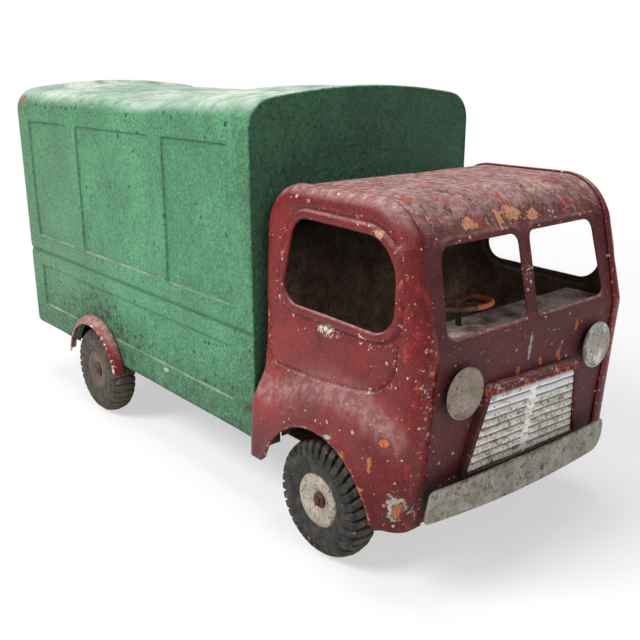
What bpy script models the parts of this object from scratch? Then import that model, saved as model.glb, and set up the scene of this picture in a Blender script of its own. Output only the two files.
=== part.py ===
"""Pressed-steel toy box van: forward-control cab, box body with rear doors, rubber-tyred wheels.

Frame: metres, +Z up, front of the van towards -Y, its right-hand side towards -X.
Origin: on the ground under the middle of the whole van.
"""
import math

import bmesh
import bpy
from mathutils import Matrix, Vector
from mathutils.geometry import delaunay_2d_cdt

RIGHT, LEFT = -1, 1
SIDES = {"right": RIGHT, "left": LEFT}
GAP = 0.0003            # left between pieces that touch
SHEET = 0.0010          # thickness of the pressed steel sheet

# Wheels and axles
TYRE_RADIUS = 0.038
TYRE_HALF_WIDTH = 0.0112
TRACK_HALF = 0.094      # van's centre line to the middle of a tyre
HUB_RADIUS = 0.0174
AXLE_RADIUS = 0.0025
AXLE_HALF_LENGTH = 0.1035

# Box body
VAN_FRONT_Y = -0.110
VAN_LENGTH = 0.362
VAN_REAR_Y = VAN_FRONT_Y + VAN_LENGTH
VAN_HALF_WIDTH = 0.100
VAN_BOTTOM_Z = 0.0537
VAN_SHOULDER_Z = 0.270  # where the side would meet the roof's crown if the corner were sharp
VAN_CROWN_Z = 0.279
VAN_CORNER_RADIUS = 0.020

WHEEL_CUT_RADIUS = 0.043
WHEEL_WELL_X = 0.080    # inner edge of the floor's cut-outs
AXLE_Y = {"front": VAN_FRONT_Y - 0.0670, "rear": VAN_FRONT_Y + 0.2300}

# Cab
CAB_REAR_Y = VAN_FRONT_Y - 0.0070
CAB_LUG_Y = VAN_FRONT_Y - 0.0045
CAB_NOSE_Y = VAN_FRONT_Y - 0.1425
CAB_FRONT_BOTTOM_Y = VAN_FRONT_Y - 0.1338
CAB_HEADER_Y = VAN_FRONT_Y - 0.1240
CAB_BOTTOM_Z = 0.0440
CAB_LUG_Z = 0.0490      # foot of the side's rear lug
CAB_NOSE_Z = 0.1460
CAB_ROOF_Z = 0.2250
CAB_ROOF_FRONT_RADIUS = 0.034
CAB_ROOF_REAR_RADIUS = 0.028
CAB_HALF_WIDTH = 0.097  # at the nose
CAB_LEAN = 0.04         # sideways spread for each metre down from the nose
CAB_CORNER_RADIUS = 0.009
CAB_LUG_RADIUS = 0.006  # the rear edge tightens down to its lug
FLANGE_X = 0.0835       # inner edge of a side pressing's flange
FRONT_SHEET_HALF = 0.0862
FRONT_SHEET_INSET = SHEET + 2 * GAP  # the front sheet is tucked under the side flanges

# Front wheel arch and the fender that stands out over it
ARCH_Y = AXLE_Y["front"] - 0.0030
ARCH_Z = 0.0385
ARCH_RADIUS = 0.048
FLARE = 0.0090
FENDER_CREST_Z = 0.108
FENDER_CREST_DROP = 0.010

FLOOR_Z = 0.0546
CHASSIS_TOP_Z = 0.0531
SCREW_SPOTS = {"front_right": (-0.035, -0.150), "front_left": (0.035, -0.150),
               "rear_right": (-0.035, 0.215), "rear_left": (0.035, 0.215)}

DOOR_SEAM = 0.0005      # half the slit between the two rear doors
DOOR_EDGE_GAP = 0.0015  # between a leaf and the inside of the shell
DOOR_HINGE_X = 0.0960
DOOR_HINGE_Y = VAN_REAR_Y + 0.0026
DOOR_BOTTOM_Z = VAN_BOTTOM_Z + 0.0030
HINGE_WIRE_Z = (0.066, 0.246)
HINGE_WIRE_RADIUS = 0.0009
LOOP_Z = (0.082, 0.228)
LOOP_HALF_HEIGHT = 0.006
LOOP_RADIUS = 0.0021
HANDLE_X, HANDLE_Z = 0.010, 0.150
HANDLE_HALF_WIDTH = 0.0025
HANDLE_LENGTH = 0.0175
SPINDLE_RADIUS = 0.0019

MAROON = (0.20, 0.035, 0.035, 1.0)
MAROON_DARK = (0.13, 0.035, 0.035, 1.0)
GREEN = (0.11, 0.34, 0.17, 1.0)
GREEN_DARK = (0.03, 0.14, 0.07, 1.0)
SILVER = (0.55, 0.54, 0.50, 1.0)
RUST = (0.16, 0.07, 0.035, 1.0)
STEEL = (0.30, 0.28, 0.26, 1.0)
RUBBER = (0.025, 0.024, 0.022, 1.0)
DUSTY_RUBBER = (0.07, 0.055, 0.042, 1.0)


# ---------------------------------------------------------------- scene and materials
def clear_scene():
    for obj in list(bpy.data.objects):
        bpy.data.objects.remove(obj, do_unlink=True)


def new_collection(name):
    collection = bpy.data.collections.new(name)
    bpy.context.scene.collection.children.link(collection)
    return collection


def paint(name, color, roughness=0.5, metallic=0.0):
    material = bpy.data.materials.get(name) or bpy.data.materials.new(name)
    material.use_nodes = True
    shader = material.node_tree.nodes["Principled BSDF"]
    shader.inputs["Base Color"].default_value = color
    shader.inputs["Roughness"].default_value = roughness
    shader.inputs["Metallic"].default_value = metallic
    return material


clear_scene()
PARTS = new_collection("toy_box_van")
CUTTERS = new_collection("cutters")


# ---------------------------------------------------------------- outlines
def arc(centre, radius, start, end, count):
    """Points on an arc, angles in degrees."""
    steps = [math.radians(start + (end - start) * i / count) for i in range(count + 1)]
    return [(centre[0] + radius * math.cos(a), centre[1] + radius * math.sin(a)) for a in steps]


def rounded(corners, closed=True):
    """Outline through corners (x, y, radius, segments); a radius of 0 keeps the corner sharp."""
    points = []
    for i, (x, y, radius, segments) in enumerate(corners):
        here = Vector((x, y))
        if radius == 0 or (not closed and i in (0, len(corners) - 1)):
            points.append((x, y))
            continue
        before = (Vector(corners[i - 1][:2]) - here).normalized()
        after = (Vector(corners[(i + 1) % len(corners)][:2]) - here).normalized()
        half = before.angle(after) / 2
        centre = here + (before + after).normalized() * radius / math.sin(half)
        first = here + before * radius / math.tan(half) - centre
        last = here + after * radius / math.tan(half) - centre
        sweep = first.angle_signed(last)
        for j in range(segments + 1):
            turn = Matrix.Rotation(-sweep * j / segments, 2)
            points.append(tuple(centre + turn @ first))
    return points


def offset(path, distance):
    """The open path moved to its right by distance, with each point's unit normal that way."""
    moved, normals = [], []
    for i, point in enumerate(path):
        before = Vector(path[max(i - 1, 0)])
        after = Vector(path[min(i + 1, len(path) - 1)])
        along = (after - before).normalized()
        normal = Vector((along.y, -along.x))
        normals.append(normal)
        moved.append(tuple(Vector(point) + normal * distance))
    return moved, normals


# ---------------------------------------------------------------- objects
def add_object(name, bm, material, collection=None):
    mesh = bpy.data.meshes.new(name)
    bm.to_mesh(mesh)
    bm.free()
    obj = bpy.data.objects.new(name, mesh)
    (collection or PARTS).objects.link(obj)
    if material:
        mesh.materials.append(material)
    mesh.shade_smooth()
    mesh.set_sharp_from_angle(angle=math.radians(35))
    return obj


def face_away_from(bm, inside):
    """Turn the faces of an open sheet so that they look away from the point inside."""
    bmesh.ops.recalc_face_normals(bm, faces=bm.faces)
    away = sum(f.calc_area() * f.normal.dot(f.calc_center_median() - Vector(inside)) for f in bm.faces)
    if away < 0:
        bmesh.ops.reverse_faces(bm, faces=bm.faces)


def loft(bm, sections):
    """Quads between sections that hold the same number of points."""
    rows = [[bm.verts.new(point) for point in section] for section in sections]
    for near, far in zip(rows, rows[1:]):
        for i in range(len(near) - 1):
            bm.faces.new((near[i], near[i + 1], far[i + 1], far[i]))


def thicken(obj, thickness=SHEET):
    """Give an open sheet its thickness, inwards from the faces."""
    solidify = obj.modifiers.new("Thickness", "SOLIDIFY")
    solidify.thickness = thickness
    solidify.offset = -1
    solidify.use_even_offset = True
    return obj


def combine(obj, other, operation):
    """Cut or join obj with another object, which is kept as a guide."""
    boolean = obj.modifiers.new(operation.title(), "BOOLEAN")
    boolean.operation = operation
    boolean.solver = "EXACT"
    boolean.object = other
    other.hide_render = True
    other.display_type = "WIRE"
    return obj


def mesh_of_curve(name, curve, place, material=None, collection=None):
    """A curve turned into a closed mesh object, with its caps welded to its sides."""
    source = bpy.data.objects.new(name, curve)
    CUTTERS.objects.link(source)
    bpy.context.view_layer.update()
    mesh = bpy.data.meshes.new_from_object(source.evaluated_get(bpy.context.evaluated_depsgraph_get()))
    bpy.data.objects.remove(source, do_unlink=True)
    bm = bmesh.new()
    bm.from_mesh(mesh)
    bmesh.ops.remove_doubles(bm, verts=bm.verts, dist=1e-6)
    bmesh.ops.recalc_face_normals(bm, faces=bm.faces)
    bm.transform(place)
    return add_object(name, bm, material, collection)


def plate(name, loops, thickness, place, material=None, collection=None):
    """A flat outline with holes, centred on its own plane, as a mesh placed by a matrix."""
    curve = bpy.data.curves.new(name, "CURVE")
    curve.dimensions = "2D"
    curve.fill_mode = "BOTH"
    curve.extrude = thickness / 2
    for loop in loops:
        spline = curve.splines.new("POLY")
        spline.points.add(len(loop) - 1)
        for point, (x, y) in zip(spline.points, loop):
            point.co = (x, y, 0, 1)
        spline.use_cyclic_u = True
    return mesh_of_curve(name, curve, place, material, collection)


def across(y):
    """Plane of a plate that faces along Y: outline (x, z)."""
    return Matrix.Translation((0, y, 0)) @ Matrix.Rotation(math.pi / 2, 4, "X")


def level(z):
    """Plane of a plate that lies flat: outline (x, y)."""
    return Matrix.Translation((0, 0, z))


def block(name, low, high, material=None, collection=None):
    bm = bmesh.new()
    bmesh.ops.create_cube(bm, size=1)
    size = Vector(high) - Vector(low)
    middle = (Vector(high) + Vector(low)) / 2
    bm.transform(Matrix.Translation(middle) @ Matrix.Diagonal((*size, 1)))
    return add_object(name, bm, material, collection)


def rod(name, start, end, radius, segments=16, material=None, collection=None):
    start, end = Vector(start), Vector(end)
    turn = (end - start).to_track_quat("Z", "Y").to_matrix().to_4x4()
    bm = bmesh.new()
    bmesh.ops.create_cone(bm, cap_ends=True, segments=segments, radius1=radius, radius2=radius,
                          depth=(end - start).length)
    bm.transform(Matrix.Translation((start + end) / 2) @ turn)
    return add_object(name, bm, material, collection)


def turned(name, profile, steps, material, centre, axis_turn, angle=360.0):
    """Profile (radius, height) swept round the local Z axis; run down the outer side, top to bottom."""
    bm = bmesh.new()
    verts = [bm.verts.new((radius, 0, height)) for radius, height in profile]
    for a, b in zip(verts, verts[1:]):
        bm.edges.new((a, b))
    if angle == 360.0:
        bm.edges.new((verts[-1], verts[0]))
    obj = add_object(name, bm, material)
    screw = obj.modifiers.new("Turn", "SCREW")
    screw.axis = "Z"
    screw.angle = math.radians(angle)
    screw.steps = steps
    screw.render_steps = steps
    screw.use_merge_vertices = True
    screw.merge_threshold = 0.00001
    screw.use_smooth_shade = True
    obj.location = centre
    obj.rotation_euler = axis_turn
    return obj


def spun(name, profile, steps, material, centre, axis_turn=(0, 0, 0)):
    """Profile (radius, height) that starts and ends on the local Z axis, turned into a solid."""
    bm = bmesh.new()
    verts = [bm.verts.new((radius, 0, height)) for radius, height in profile]
    edges = [bm.edges.new(pair) for pair in zip(verts, verts[1:])]
    bmesh.ops.spin(bm, geom=verts + edges, cent=(0, 0, 0), axis=(0, 0, 1), angle=2 * math.pi, steps=steps,
                   use_merge=True)
    bmesh.ops.remove_doubles(bm, verts=bm.verts, dist=1e-6)
    bmesh.ops.recalc_face_normals(bm, faces=bm.faces)
    obj = add_object(name, bm, material)
    obj.location = centre
    obj.rotation_euler = axis_turn
    return obj


def outboard(side):
    """Rotation that points a turned piece's +Z out of the van's side."""
    return (0, side * math.pi / 2, 0)


def hang(obj, point):
    """Move obj's origin to a point on the axis it turns about, without moving its shape."""
    obj.data.transform(Matrix.Translation(-Vector(point)))
    obj.location = point
    return obj


# ---------------------------------------------------------------- wheels
TYRE_BORE = 0.0156
BARREL_RADIUS = 0.0152
HUB_BORE = AXLE_RADIUS + 0.0004
CAP_OFFSET = 0.0072     # from the middle of a tyre out to the back of the axle's cap


def tyre(name, side, centre, material):
    outer = [(TYRE_BORE, 0.0066), (0.0182, 0.0090), (0.0275, TYRE_HALF_WIDTH), (0.0325, 0.0100),
             (0.0362, 0.0070), (TYRE_RADIUS, 0.0030)]
    mirrored = [(r, -h) for r, h in reversed(outer)]
    return turned(name, outer + mirrored, 28, material, centre, outboard(side))


def hub_half(name, side, centre, facing, material):
    """One pressed half of a wheel's hub: domed disc, dished middle and the barrel inside the tyre."""
    barrel_inside = BARREL_RADIUS - SHEET
    profile = [(HUB_BORE, 0.0066), (0.0062, 0.0070), (0.0100, 0.0094), (0.0145, 0.0101),
               (HUB_RADIUS, 0.0094), (BARREL_RADIUS, 0.0066), (BARREL_RADIUS, GAP), (barrel_inside, GAP),
               (barrel_inside, 0.0078), (HUB_BORE, 0.0054)]
    if facing < 0:
        profile = [(r, -h) for r, h in reversed(profile)]
    return turned(name, profile, 16, material, centre, outboard(side))


def axle_cap(name, side, centre, material):
    """Washer-shaped cap pressed on the end of an axle."""
    bore, rim = AXLE_RADIUS + GAP, 0.0048
    profile = [(bore, 0.0016), (0.0038, 0.0016), (rim, 0.0006), (rim, 0.0), (bore, 0.0)]
    return turned(name, profile, 16, material, centre, outboard(side))


def build_wheels():
    silver = paint("wheel_silver", SILVER, 0.45, 0.6)
    rust = paint("axle_rust", RUST, 0.8, 0.3)
    rubbers = {"front": paint("tyre_black", RUBBER, 0.8), "rear": paint("tyre_dusty", DUSTY_RUBBER, 0.9)}
    for end, axle_y in AXLE_Y.items():
        for label, side in SIDES.items():
            centre = (side * TRACK_HALF, axle_y, TYRE_RADIUS)
            tyre(f"tyre_{end}_{label}", side, centre, rubbers[end])
            hub_half(f"hub_outer_{end}_{label}", side, centre, 1, silver)
            hub_half(f"hub_inner_{end}_{label}", side, centre, -1, silver)
            cap_centre = (side * (TRACK_HALF + CAP_OFFSET), axle_y, TYRE_RADIUS)
            axle_cap(f"axle_cap_{end}_{label}", side, cap_centre, rust)
        rod(f"axle_{end}", (-AXLE_HALF_LENGTH, axle_y, TYRE_RADIUS), (AXLE_HALF_LENGTH, axle_y, TYRE_RADIUS),
            AXLE_RADIUS, 16, rust)


# ---------------------------------------------------------------- chassis
CHASSIS_HALF_WIDTH = 0.055
CHASSIS_DEPTH = 0.0085
CHASSIS_FRONT_Y, CHASSIS_REAR_Y = -0.238, 0.242
BRACKET_HALF_WIDTH = 0.050
BRACKET_HALF_LENGTH = 0.013
BRACKET_DEPTH = 0.0205
SCREW_RADIUS = 0.0015
SCREW_HEAD_RADIUS = 0.0032
SCREW_HEAD_DEPTH = 0.0017


def channel(name, half_width, top_z, drop, front_y, rear_y, material):
    """Inverted U-section pressing that runs along Y."""
    profile = rounded([(-half_width, top_z - drop, 0, 0), (-half_width, top_z, 0.002, 2),
                       (half_width, top_z, 0.002, 2), (half_width, top_z - drop, 0, 0)], closed=False)
    bm = bmesh.new()
    loft(bm, [[(x, y, z) for x, z in profile] for y in (front_y, rear_y)])
    face_away_from(bm, (0, (front_y + rear_y) / 2, top_z - drop))
    return thicken(add_object(name, bm, material))


def build_chassis():
    steel = paint("chassis_rust", RUST, 0.8, 0.4)
    chassis = channel("chassis", CHASSIS_HALF_WIDTH, CHASSIS_TOP_Z, CHASSIS_DEPTH, CHASSIS_FRONT_Y,
                      CHASSIS_REAR_Y, steel)
    for end, axle_y in AXLE_Y.items():
        bracket = channel(f"axle_bracket_{end}", BRACKET_HALF_WIDTH, CHASSIS_TOP_Z - SHEET - GAP,
                          BRACKET_DEPTH, axle_y - BRACKET_HALF_LENGTH, axle_y + BRACKET_HALF_LENGTH, steel)
        reach = BRACKET_HALF_WIDTH + 0.02
        bore = rod(f"{end}_axle_bore", (-reach, axle_y, TYRE_RADIUS), (reach, axle_y, TYRE_RADIUS),
                   AXLE_RADIUS + GAP, 16, collection=CUTTERS)
        combine(bracket, bore, "DIFFERENCE")
    for x, y in SCREW_SPOTS.values():
        combine(chassis, screw_hole(x, y), "DIFFERENCE")
    for label, (x, y) in SCREW_SPOTS.items():
        body_screw(f"body_screw_{label}", x, y, steel)


def screw_hole(x, y):
    return rod("screw_hole", (x, y, FLOOR_Z - 0.006), (x, y, FLOOR_Z + 0.004), SCREW_RADIUS + 0.0004, 12,
               collection=CUTTERS)


def body_screw(name, x, y, material):
    """Pan-headed screw that holds the floor down on the chassis."""
    under = CHASSIS_TOP_Z - SHEET - GAP
    top = FLOOR_Z + SHEET + SCREW_RADIUS
    head = under - SCREW_HEAD_DEPTH
    profile = [(0.0, top), (SCREW_RADIUS, top), (SCREW_RADIUS, under), (SCREW_HEAD_RADIUS, under),
               (SCREW_HEAD_RADIUS, (under + head) / 2), (SCREW_HEAD_RADIUS * 0.6, head), (0.0, head)]
    return spun(name, profile, 12, material, (x, y, 0))


# ---------------------------------------------------------------- bumper
BUMPER_HALF_LENGTH = 0.0870
BUMPER_BOW = 0.0060
BUMPER_THICKNESS = 0.0012
BUMPER_END_Y = VAN_FRONT_Y - 0.1420
BUMPER_LOW_Z, BUMPER_HIGH_Z = 0.0466, 0.0680
BUMPER_END_RADIUS = 0.0060
BUMPER_HOLE_X, BUMPER_HOLE_Z = 0.0098, 0.0548
STRAP_X = 0.042
STRAP_HALF_WIDTH = 0.006


def bumper_y(x):
    """Outer face of the bumper: it bows forward in the middle."""
    return BUMPER_END_Y - BUMPER_BOW * (1 - (x / BUMPER_HALF_LENGTH) ** 2)


def build_bumper():
    silver = paint("bumper_silver", SILVER, 0.45, 0.6)
    xs = [BUMPER_HALF_LENGTH * (i / 6 - 1) for i in range(13)]
    bm = bmesh.new()
    loft(bm, [[(x, bumper_y(x), z) for z in (BUMPER_LOW_Z, BUMPER_HIGH_Z)] for x in xs])
    face_away_from(bm, (0, 0, 0.05))
    bumper = thicken(add_object("bumper", bm, silver), BUMPER_THICKNESS)
    length, low, high = BUMPER_HALF_LENGTH - 0.0002, BUMPER_LOW_Z - 0.001, BUMPER_HIGH_Z + 0.001
    corners = ((-length, low), (length, low), (length, high), (-length, high))
    ends = rounded([(*corner, BUMPER_END_RADIUS, 4) for corner in corners])
    outline = plate("bumper_ends", [ends], 0.04, across(BUMPER_END_Y), collection=CUTTERS)
    combine(bumper, outline, "INTERSECT")
    ahead, behind = BUMPER_END_Y - 0.02, BUMPER_END_Y + 0.02
    hole = rod("bumper_hole", (BUMPER_HOLE_X, ahead, BUMPER_HOLE_Z), (BUMPER_HOLE_X, behind, BUMPER_HOLE_Z),
               0.0012, 10, collection=CUTTERS)
    combine(bumper, hole, "DIFFERENCE")
    steel = paint("chassis_rust", RUST, 0.8, 0.4)
    for label, side in SIDES.items():
        bumper_bracket(f"bumper_bracket_{label}", side * STRAP_X, steel)


def bumper_bracket(name, x, material):
    """Strap from under the chassis to the back of the bumper."""
    low_z = CHASSIS_TOP_Z - 2 * SHEET - GAP
    front_y = bumper_y(abs(x) + STRAP_HALF_WIDTH) + BUMPER_THICKNESS + GAP
    profile = rounded([(-0.218, low_z, 0, 0), (front_y, low_z, 0.002, 2), (front_y, low_z + 0.010, 0, 0)],
                      closed=False)
    bm = bmesh.new()
    loft(bm, [[(x + dx, y, z) for y, z in profile] for dx in (-STRAP_HALF_WIDTH, STRAP_HALF_WIDTH)])
    face_away_from(bm, (x, -0.22, 0.065))
    return thicken(add_object(name, bm, material))


# ---------------------------------------------------------------- cab
WINDSCREEN_Z = (0.1525, 0.1998)
WINDSCREEN_SILL_X, WINDSCREEN_TOP_X = 0.0735, 0.0700
POST_HALF_WIDTH = 0.0050
REAR_PANEL_TOP_Z = 0.196
CAB_FLOOR_HALF = 0.080


def smooth_step(value, start, end):
    t = min(max((value - start) / (end - start), 0.0), 1.0)
    return t * t * (3 - 2 * t)


def cab_outline(segments=6):
    """Side view of the cab (y, z), from the front bottom over the roof to the rear bottom."""
    corners = [(CAB_FRONT_BOTTOM_Y, CAB_BOTTOM_Z, 0, 0),
               (CAB_FRONT_BOTTOM_Y * 0.5 + CAB_NOSE_Y * 0.5, (CAB_BOTTOM_Z + CAB_NOSE_Z) / 2, 0, 0),
               (CAB_NOSE_Y, CAB_NOSE_Z, 0.012, 2),
               (CAB_HEADER_Y, CAB_ROOF_Z, CAB_ROOF_FRONT_RADIUS, segments),
               ((CAB_HEADER_Y + CAB_REAR_Y) / 2, CAB_ROOF_Z, 0, 0),
               (CAB_REAR_Y, CAB_ROOF_Z, CAB_ROOF_REAR_RADIUS, segments),
               ((CAB_REAR_Y + CAB_LUG_Y) / 2, 0.120, 0, 0),
               (CAB_LUG_Y, CAB_LUG_Z, 0, 0)]
    return rounded(corners, closed=False)


def side_x(y, z):
    """Distance of the cab side's outer face from the centre line."""
    middle_y = VAN_FRONT_Y - 0.070
    crest = FENDER_CREST_Z - FENDER_CREST_DROP * smooth_step(abs(y - middle_y), 0.030, 0.065)
    flare = FLARE * smooth_step(z, crest + 0.012, crest - 0.014)
    flare *= smooth_step(y, CAB_NOSE_Y + 0.006, CAB_NOSE_Y + 0.034)
    return CAB_HALF_WIDTH + CAB_LEAN * (CAB_NOSE_Z - z) + flare


def corner_radius(y, z):
    """Radius between the cab side's face and its flange."""
    lug = smooth_step(z, 0.120, 0.080) if y > ARCH_Y else 0.0
    return CAB_CORNER_RADIUS + (CAB_LUG_RADIUS - CAB_CORNER_RADIUS) * lug


def side_window():
    """Opening in the cab's side (y, z)."""
    front, rear = VAN_FRONT_Y - 0.1215, VAN_FRONT_Y - 0.0270
    return rounded([(front, 0.1535, 0.015, 4), (rear, 0.1555, 0.012, 4),
                    (rear - 0.0110, 0.2070, 0.013, 4), (front + 0.0010, 0.2050, 0.023, 5)])


def side_bottom_edge():
    """From the rear lug's foot along the wheel arch to the front foot (y, z)."""
    lug, foot = (math.asin((z + 0.004 - ARCH_Z) / ARCH_RADIUS) for z in (CAB_LUG_Z, CAB_BOTTOM_Z))
    wheel_arch = arc((ARCH_Y, ARCH_Z), ARCH_RADIUS, math.degrees(lug), 180 - math.degrees(foot), 16)
    inset = ARCH_RADIUS + 0.003
    return [(ARCH_Y + inset, CAB_LUG_Z)] + wheel_arch + [(ARCH_Y - inset, CAB_BOTTOM_Z)]


def inside(point, loop):
    """Whether a point lies in a closed loop, by crossings."""
    x, y = point
    hit = False
    for (x0, y0), (x1, y1) in zip(loop, loop[1:] + loop[:1]):
        if (y0 > y) != (y1 > y) and x < x0 + (y - y0) * (x1 - x0) / (y1 - y0):
            hit = not hit
    return hit


def fill_points(outer, hole, spacing, margin):
    """Grid points inside outer and outside hole, kept clear of both edges."""
    edge = [Vector(p) for p in outer + hole]
    lows = [min(p[k] for p in outer) for k in (0, 1)]
    highs = [max(p[k] for p in outer) for k in (0, 1)]
    counts = [round((high - low) / spacing) for low, high in zip(lows, highs)]
    points = []
    for i in range(1, counts[0]):
        for j in range(1, counts[1]):
            point = Vector((lows[0] + i * spacing, lows[1] + j * spacing))
            clear = min((point - e).length for e in edge) > margin
            if clear and inside(point, outer) and not inside(point, hole):
                points.append(point)
    return points


def fill_sheet(bm, outer, hole, spacing, place):
    """Triangles between an outline and a hole in it, put in space by place(u, v)."""
    points = [Vector(p) for p in outer + hole]
    edges = []
    for start, count in ((0, len(outer)), (len(outer), len(hole))):
        edges += [(start + i, start + (i + 1) % count) for i in range(count)]
    points += fill_points(outer, hole, spacing, spacing * 0.5)
    inside_edges = 1
    flat, _, triangles, *_ = delaunay_2d_cdt(points, edges, [], inside_edges, 1e-7)
    verts = [bm.verts.new(place(point.x, point.y)) for point in flat]
    for triangle in triangles:
        middle = sum((flat[i] for i in triangle), Vector((0, 0))) / 3
        if not inside(middle, hole):
            bm.faces.new([verts[i] for i in triangle])


def cab_side(name, side, material):
    """Side pressing: outer face with window and wheel arch, rounded edge and inward flange."""
    path = cab_outline()
    normals = offset(path, 0)[1]
    sections, face_edge = [], []
    for (y, z), normal in zip(path, normals):
        radius = corner_radius(y, z)
        section = [(side * FLANGE_X, y, z)]
        for turn in (0, 30, 60, 90):
            inward = radius * (1 - math.cos(math.radians(turn)))
            depth = radius * (1 - math.sin(math.radians(turn)))
            py, pz = y + normal.x * inward, z + normal.y * inward
            pz = max(pz, CAB_LUG_Z if y > ARCH_Y else CAB_BOTTOM_Z)
            section.append((side * (side_x(py, pz) - depth), py, pz))
        sections.append(section)
        face_edge.append((section[-1][1], section[-1][2]))
    bm = bmesh.new()
    loft(bm, sections)
    fill_sheet(bm, face_edge + side_bottom_edge(), side_window(), 0.013,
               lambda y, z: (side * side_x(y, z), y, z))
    bmesh.ops.remove_doubles(bm, verts=bm.verts, dist=1e-6)
    face_away_from(bm, (0, (CAB_NOSE_Y + CAB_REAR_Y) / 2, 0.13))
    return thicken(add_object(name, bm, material))


def cab_front_and_roof(material):
    """One sheet bent from the front panel over the windscreen and roof to the back."""
    path = offset(cab_outline(), FRONT_SHEET_INSET)[0]
    path = [(y, z) for y, z in path if y < CAB_REAR_Y - 0.008 or z > REAR_PANEL_TOP_Z - 0.006]
    columns = [FRONT_SHEET_HALF * (i / 2 - 1) for i in range(5)]
    bm = bmesh.new()
    loft(bm, [[(x, y, z) for x in columns] for y, z in path])
    face_away_from(bm, (0, (CAB_NOSE_Y + CAB_REAR_Y) / 2, 0.10))
    sheet = thicken(add_object("cab_front_and_roof", bm, material))
    for label, side in SIDES.items():
        combine(sheet, windscreen_cutter(label, side), "DIFFERENCE")
        notch_half = STRAP_HALF_WIDTH + 0.002
        notch = block(f"bracket_notch_{label}", (side * STRAP_X - notch_half, CAB_NOSE_Y - 0.01, 0.03),
                      (side * STRAP_X + notch_half, CAB_NOSE_Y + 0.03, CHASSIS_TOP_Z + 0.0005),
                      collection=CUTTERS)
        combine(sheet, notch, "DIFFERENCE")
    return sheet


def windscreen_cutter(label, side):
    low, high = WINDSCREEN_Z
    corners = [(side * POST_HALF_WIDTH, low, 0.002, 2), (side * WINDSCREEN_SILL_X, low, 0.003, 2),
               (side * WINDSCREEN_TOP_X, high, 0.004, 2), (side * POST_HALF_WIDTH, high, 0.004, 2)]
    if side == RIGHT:
        corners.reverse()
    return plate(f"windscreen_{label}_opening", [rounded(corners)], 0.05, across(CAB_NOSE_Y + 0.008),
                 collection=CUTTERS)


def build_cab():
    maroon = paint("cab_maroon", MAROON, 0.45)
    inner = paint("cab_inner_rust", MAROON_DARK, 0.8)
    for label, side in SIDES.items():
        cab_side(f"cab_side_{label}", side, maroon)
    cab_front_and_roof(maroon)
    half, low = FRONT_SHEET_HALF - GAP, FLOOR_Z + SHEET + GAP
    back = [(-half, low), (half, low), (half, REAR_PANEL_TOP_Z), (-half, REAR_PANEL_TOP_Z)]
    plate("cab_rear_panel", [back], SHEET, across(CAB_REAR_Y - 0.0036), inner)
    floor_rear_y, half = CAB_REAR_Y - 0.003, CAB_FLOOR_HALF
    floor_edge = [(-half, floor_rear_y), (-half, CHASSIS_FRONT_Y + 0.002), (half, CHASSIS_FRONT_Y + 0.002),
                  (half, floor_rear_y)]
    floor = plate("cab_floor", [floor_edge], SHEET, level(FLOOR_Z + SHEET / 2), inner)
    for label in ("front_right", "front_left"):
        combine(floor, screw_hole(*SCREW_SPOTS[label]), "DIFFERENCE")
    build_dash_and_steering(inner)


STEERING = Vector((-0.036, VAN_FRONT_Y - 0.113, 0.1605))
STEERING_TILT = math.radians(6)
COLUMN_LENGTH = 0.024
COLUMN_RADIUS = 0.0017
STEERING_HUB_HEIGHT = 0.0044
RIM_RADIUS = 0.0195
RIM_WIRE = 0.0016
SHELF_HALF = 0.0855


def build_dash_and_steering(material):
    shelf_front, shelf_rear, z = CAB_NOSE_Y + 0.0040, VAN_FRONT_Y - 0.104, 0.1475
    profile = rounded([(shelf_front, z, 0, 0), (shelf_rear, z, 0.002, 2), (shelf_rear, z - 0.006, 0, 0)],
                      closed=False)
    bm = bmesh.new()
    loft(bm, [[(x, y, h) for y, h in profile] for x in (-SHELF_HALF, SHELF_HALF)])
    face_away_from(bm, (0, shelf_front, z - 0.02))
    shelf = thicken(add_object("dash_shelf", bm, material))
    rust = paint("steering_rust", RUST, 0.7, 0.3)
    axis = Vector((0, math.sin(STEERING_TILT), math.cos(STEERING_TILT)))
    foot, head = STEERING - axis * COLUMN_LENGTH, STEERING - axis * (STEERING_HUB_HEIGHT / 2 + GAP)
    hang(rod("steering_column", foot, head, COLUMN_RADIUS, 12, rust), STEERING)
    hole = rod("column_hole", foot - axis * 0.01, head + axis * 0.01, COLUMN_RADIUS + 0.0005, 12,
               collection=CUTTERS)
    combine(shelf, hole, "DIFFERENCE")
    steering_wheel(rust)


def steering_wheel(material):
    """Wire rim, hub and three spokes, tilted with the column."""
    place = Matrix.Translation(STEERING) @ Matrix.Rotation(-STEERING_TILT, 4, "X")
    bm = bmesh.new()
    bmesh.ops.create_cone(bm, cap_ends=True, segments=12, radius1=0.0040, radius2=0.0032,
                          depth=STEERING_HUB_HEIGHT)
    bm.transform(place)
    wheel = hang(add_object("steering_wheel", bm, material), STEERING)
    for i, degrees in enumerate((-100, 20, 140)):
        out = Vector((math.cos(math.radians(degrees)), math.sin(math.radians(degrees)), 0))
        spoke = rod(f"spoke_{i}", place @ (out * 0.002), place @ (out * RIM_RADIUS), 0.0011, 6,
                    collection=CUTTERS)
        combine(wheel, spoke, "UNION")
    bpy.ops.mesh.primitive_torus_add(major_radius=RIM_RADIUS, minor_radius=RIM_WIRE, major_segments=24,
                                     minor_segments=8)
    rim = bpy.context.object
    rim.name = "steering_rim"
    rim.matrix_world = place
    for collection in list(rim.users_collection):
        collection.objects.unlink(rim)
    CUTTERS.objects.link(rim)
    combine(wheel, rim, "UNION")
    return wheel


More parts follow.
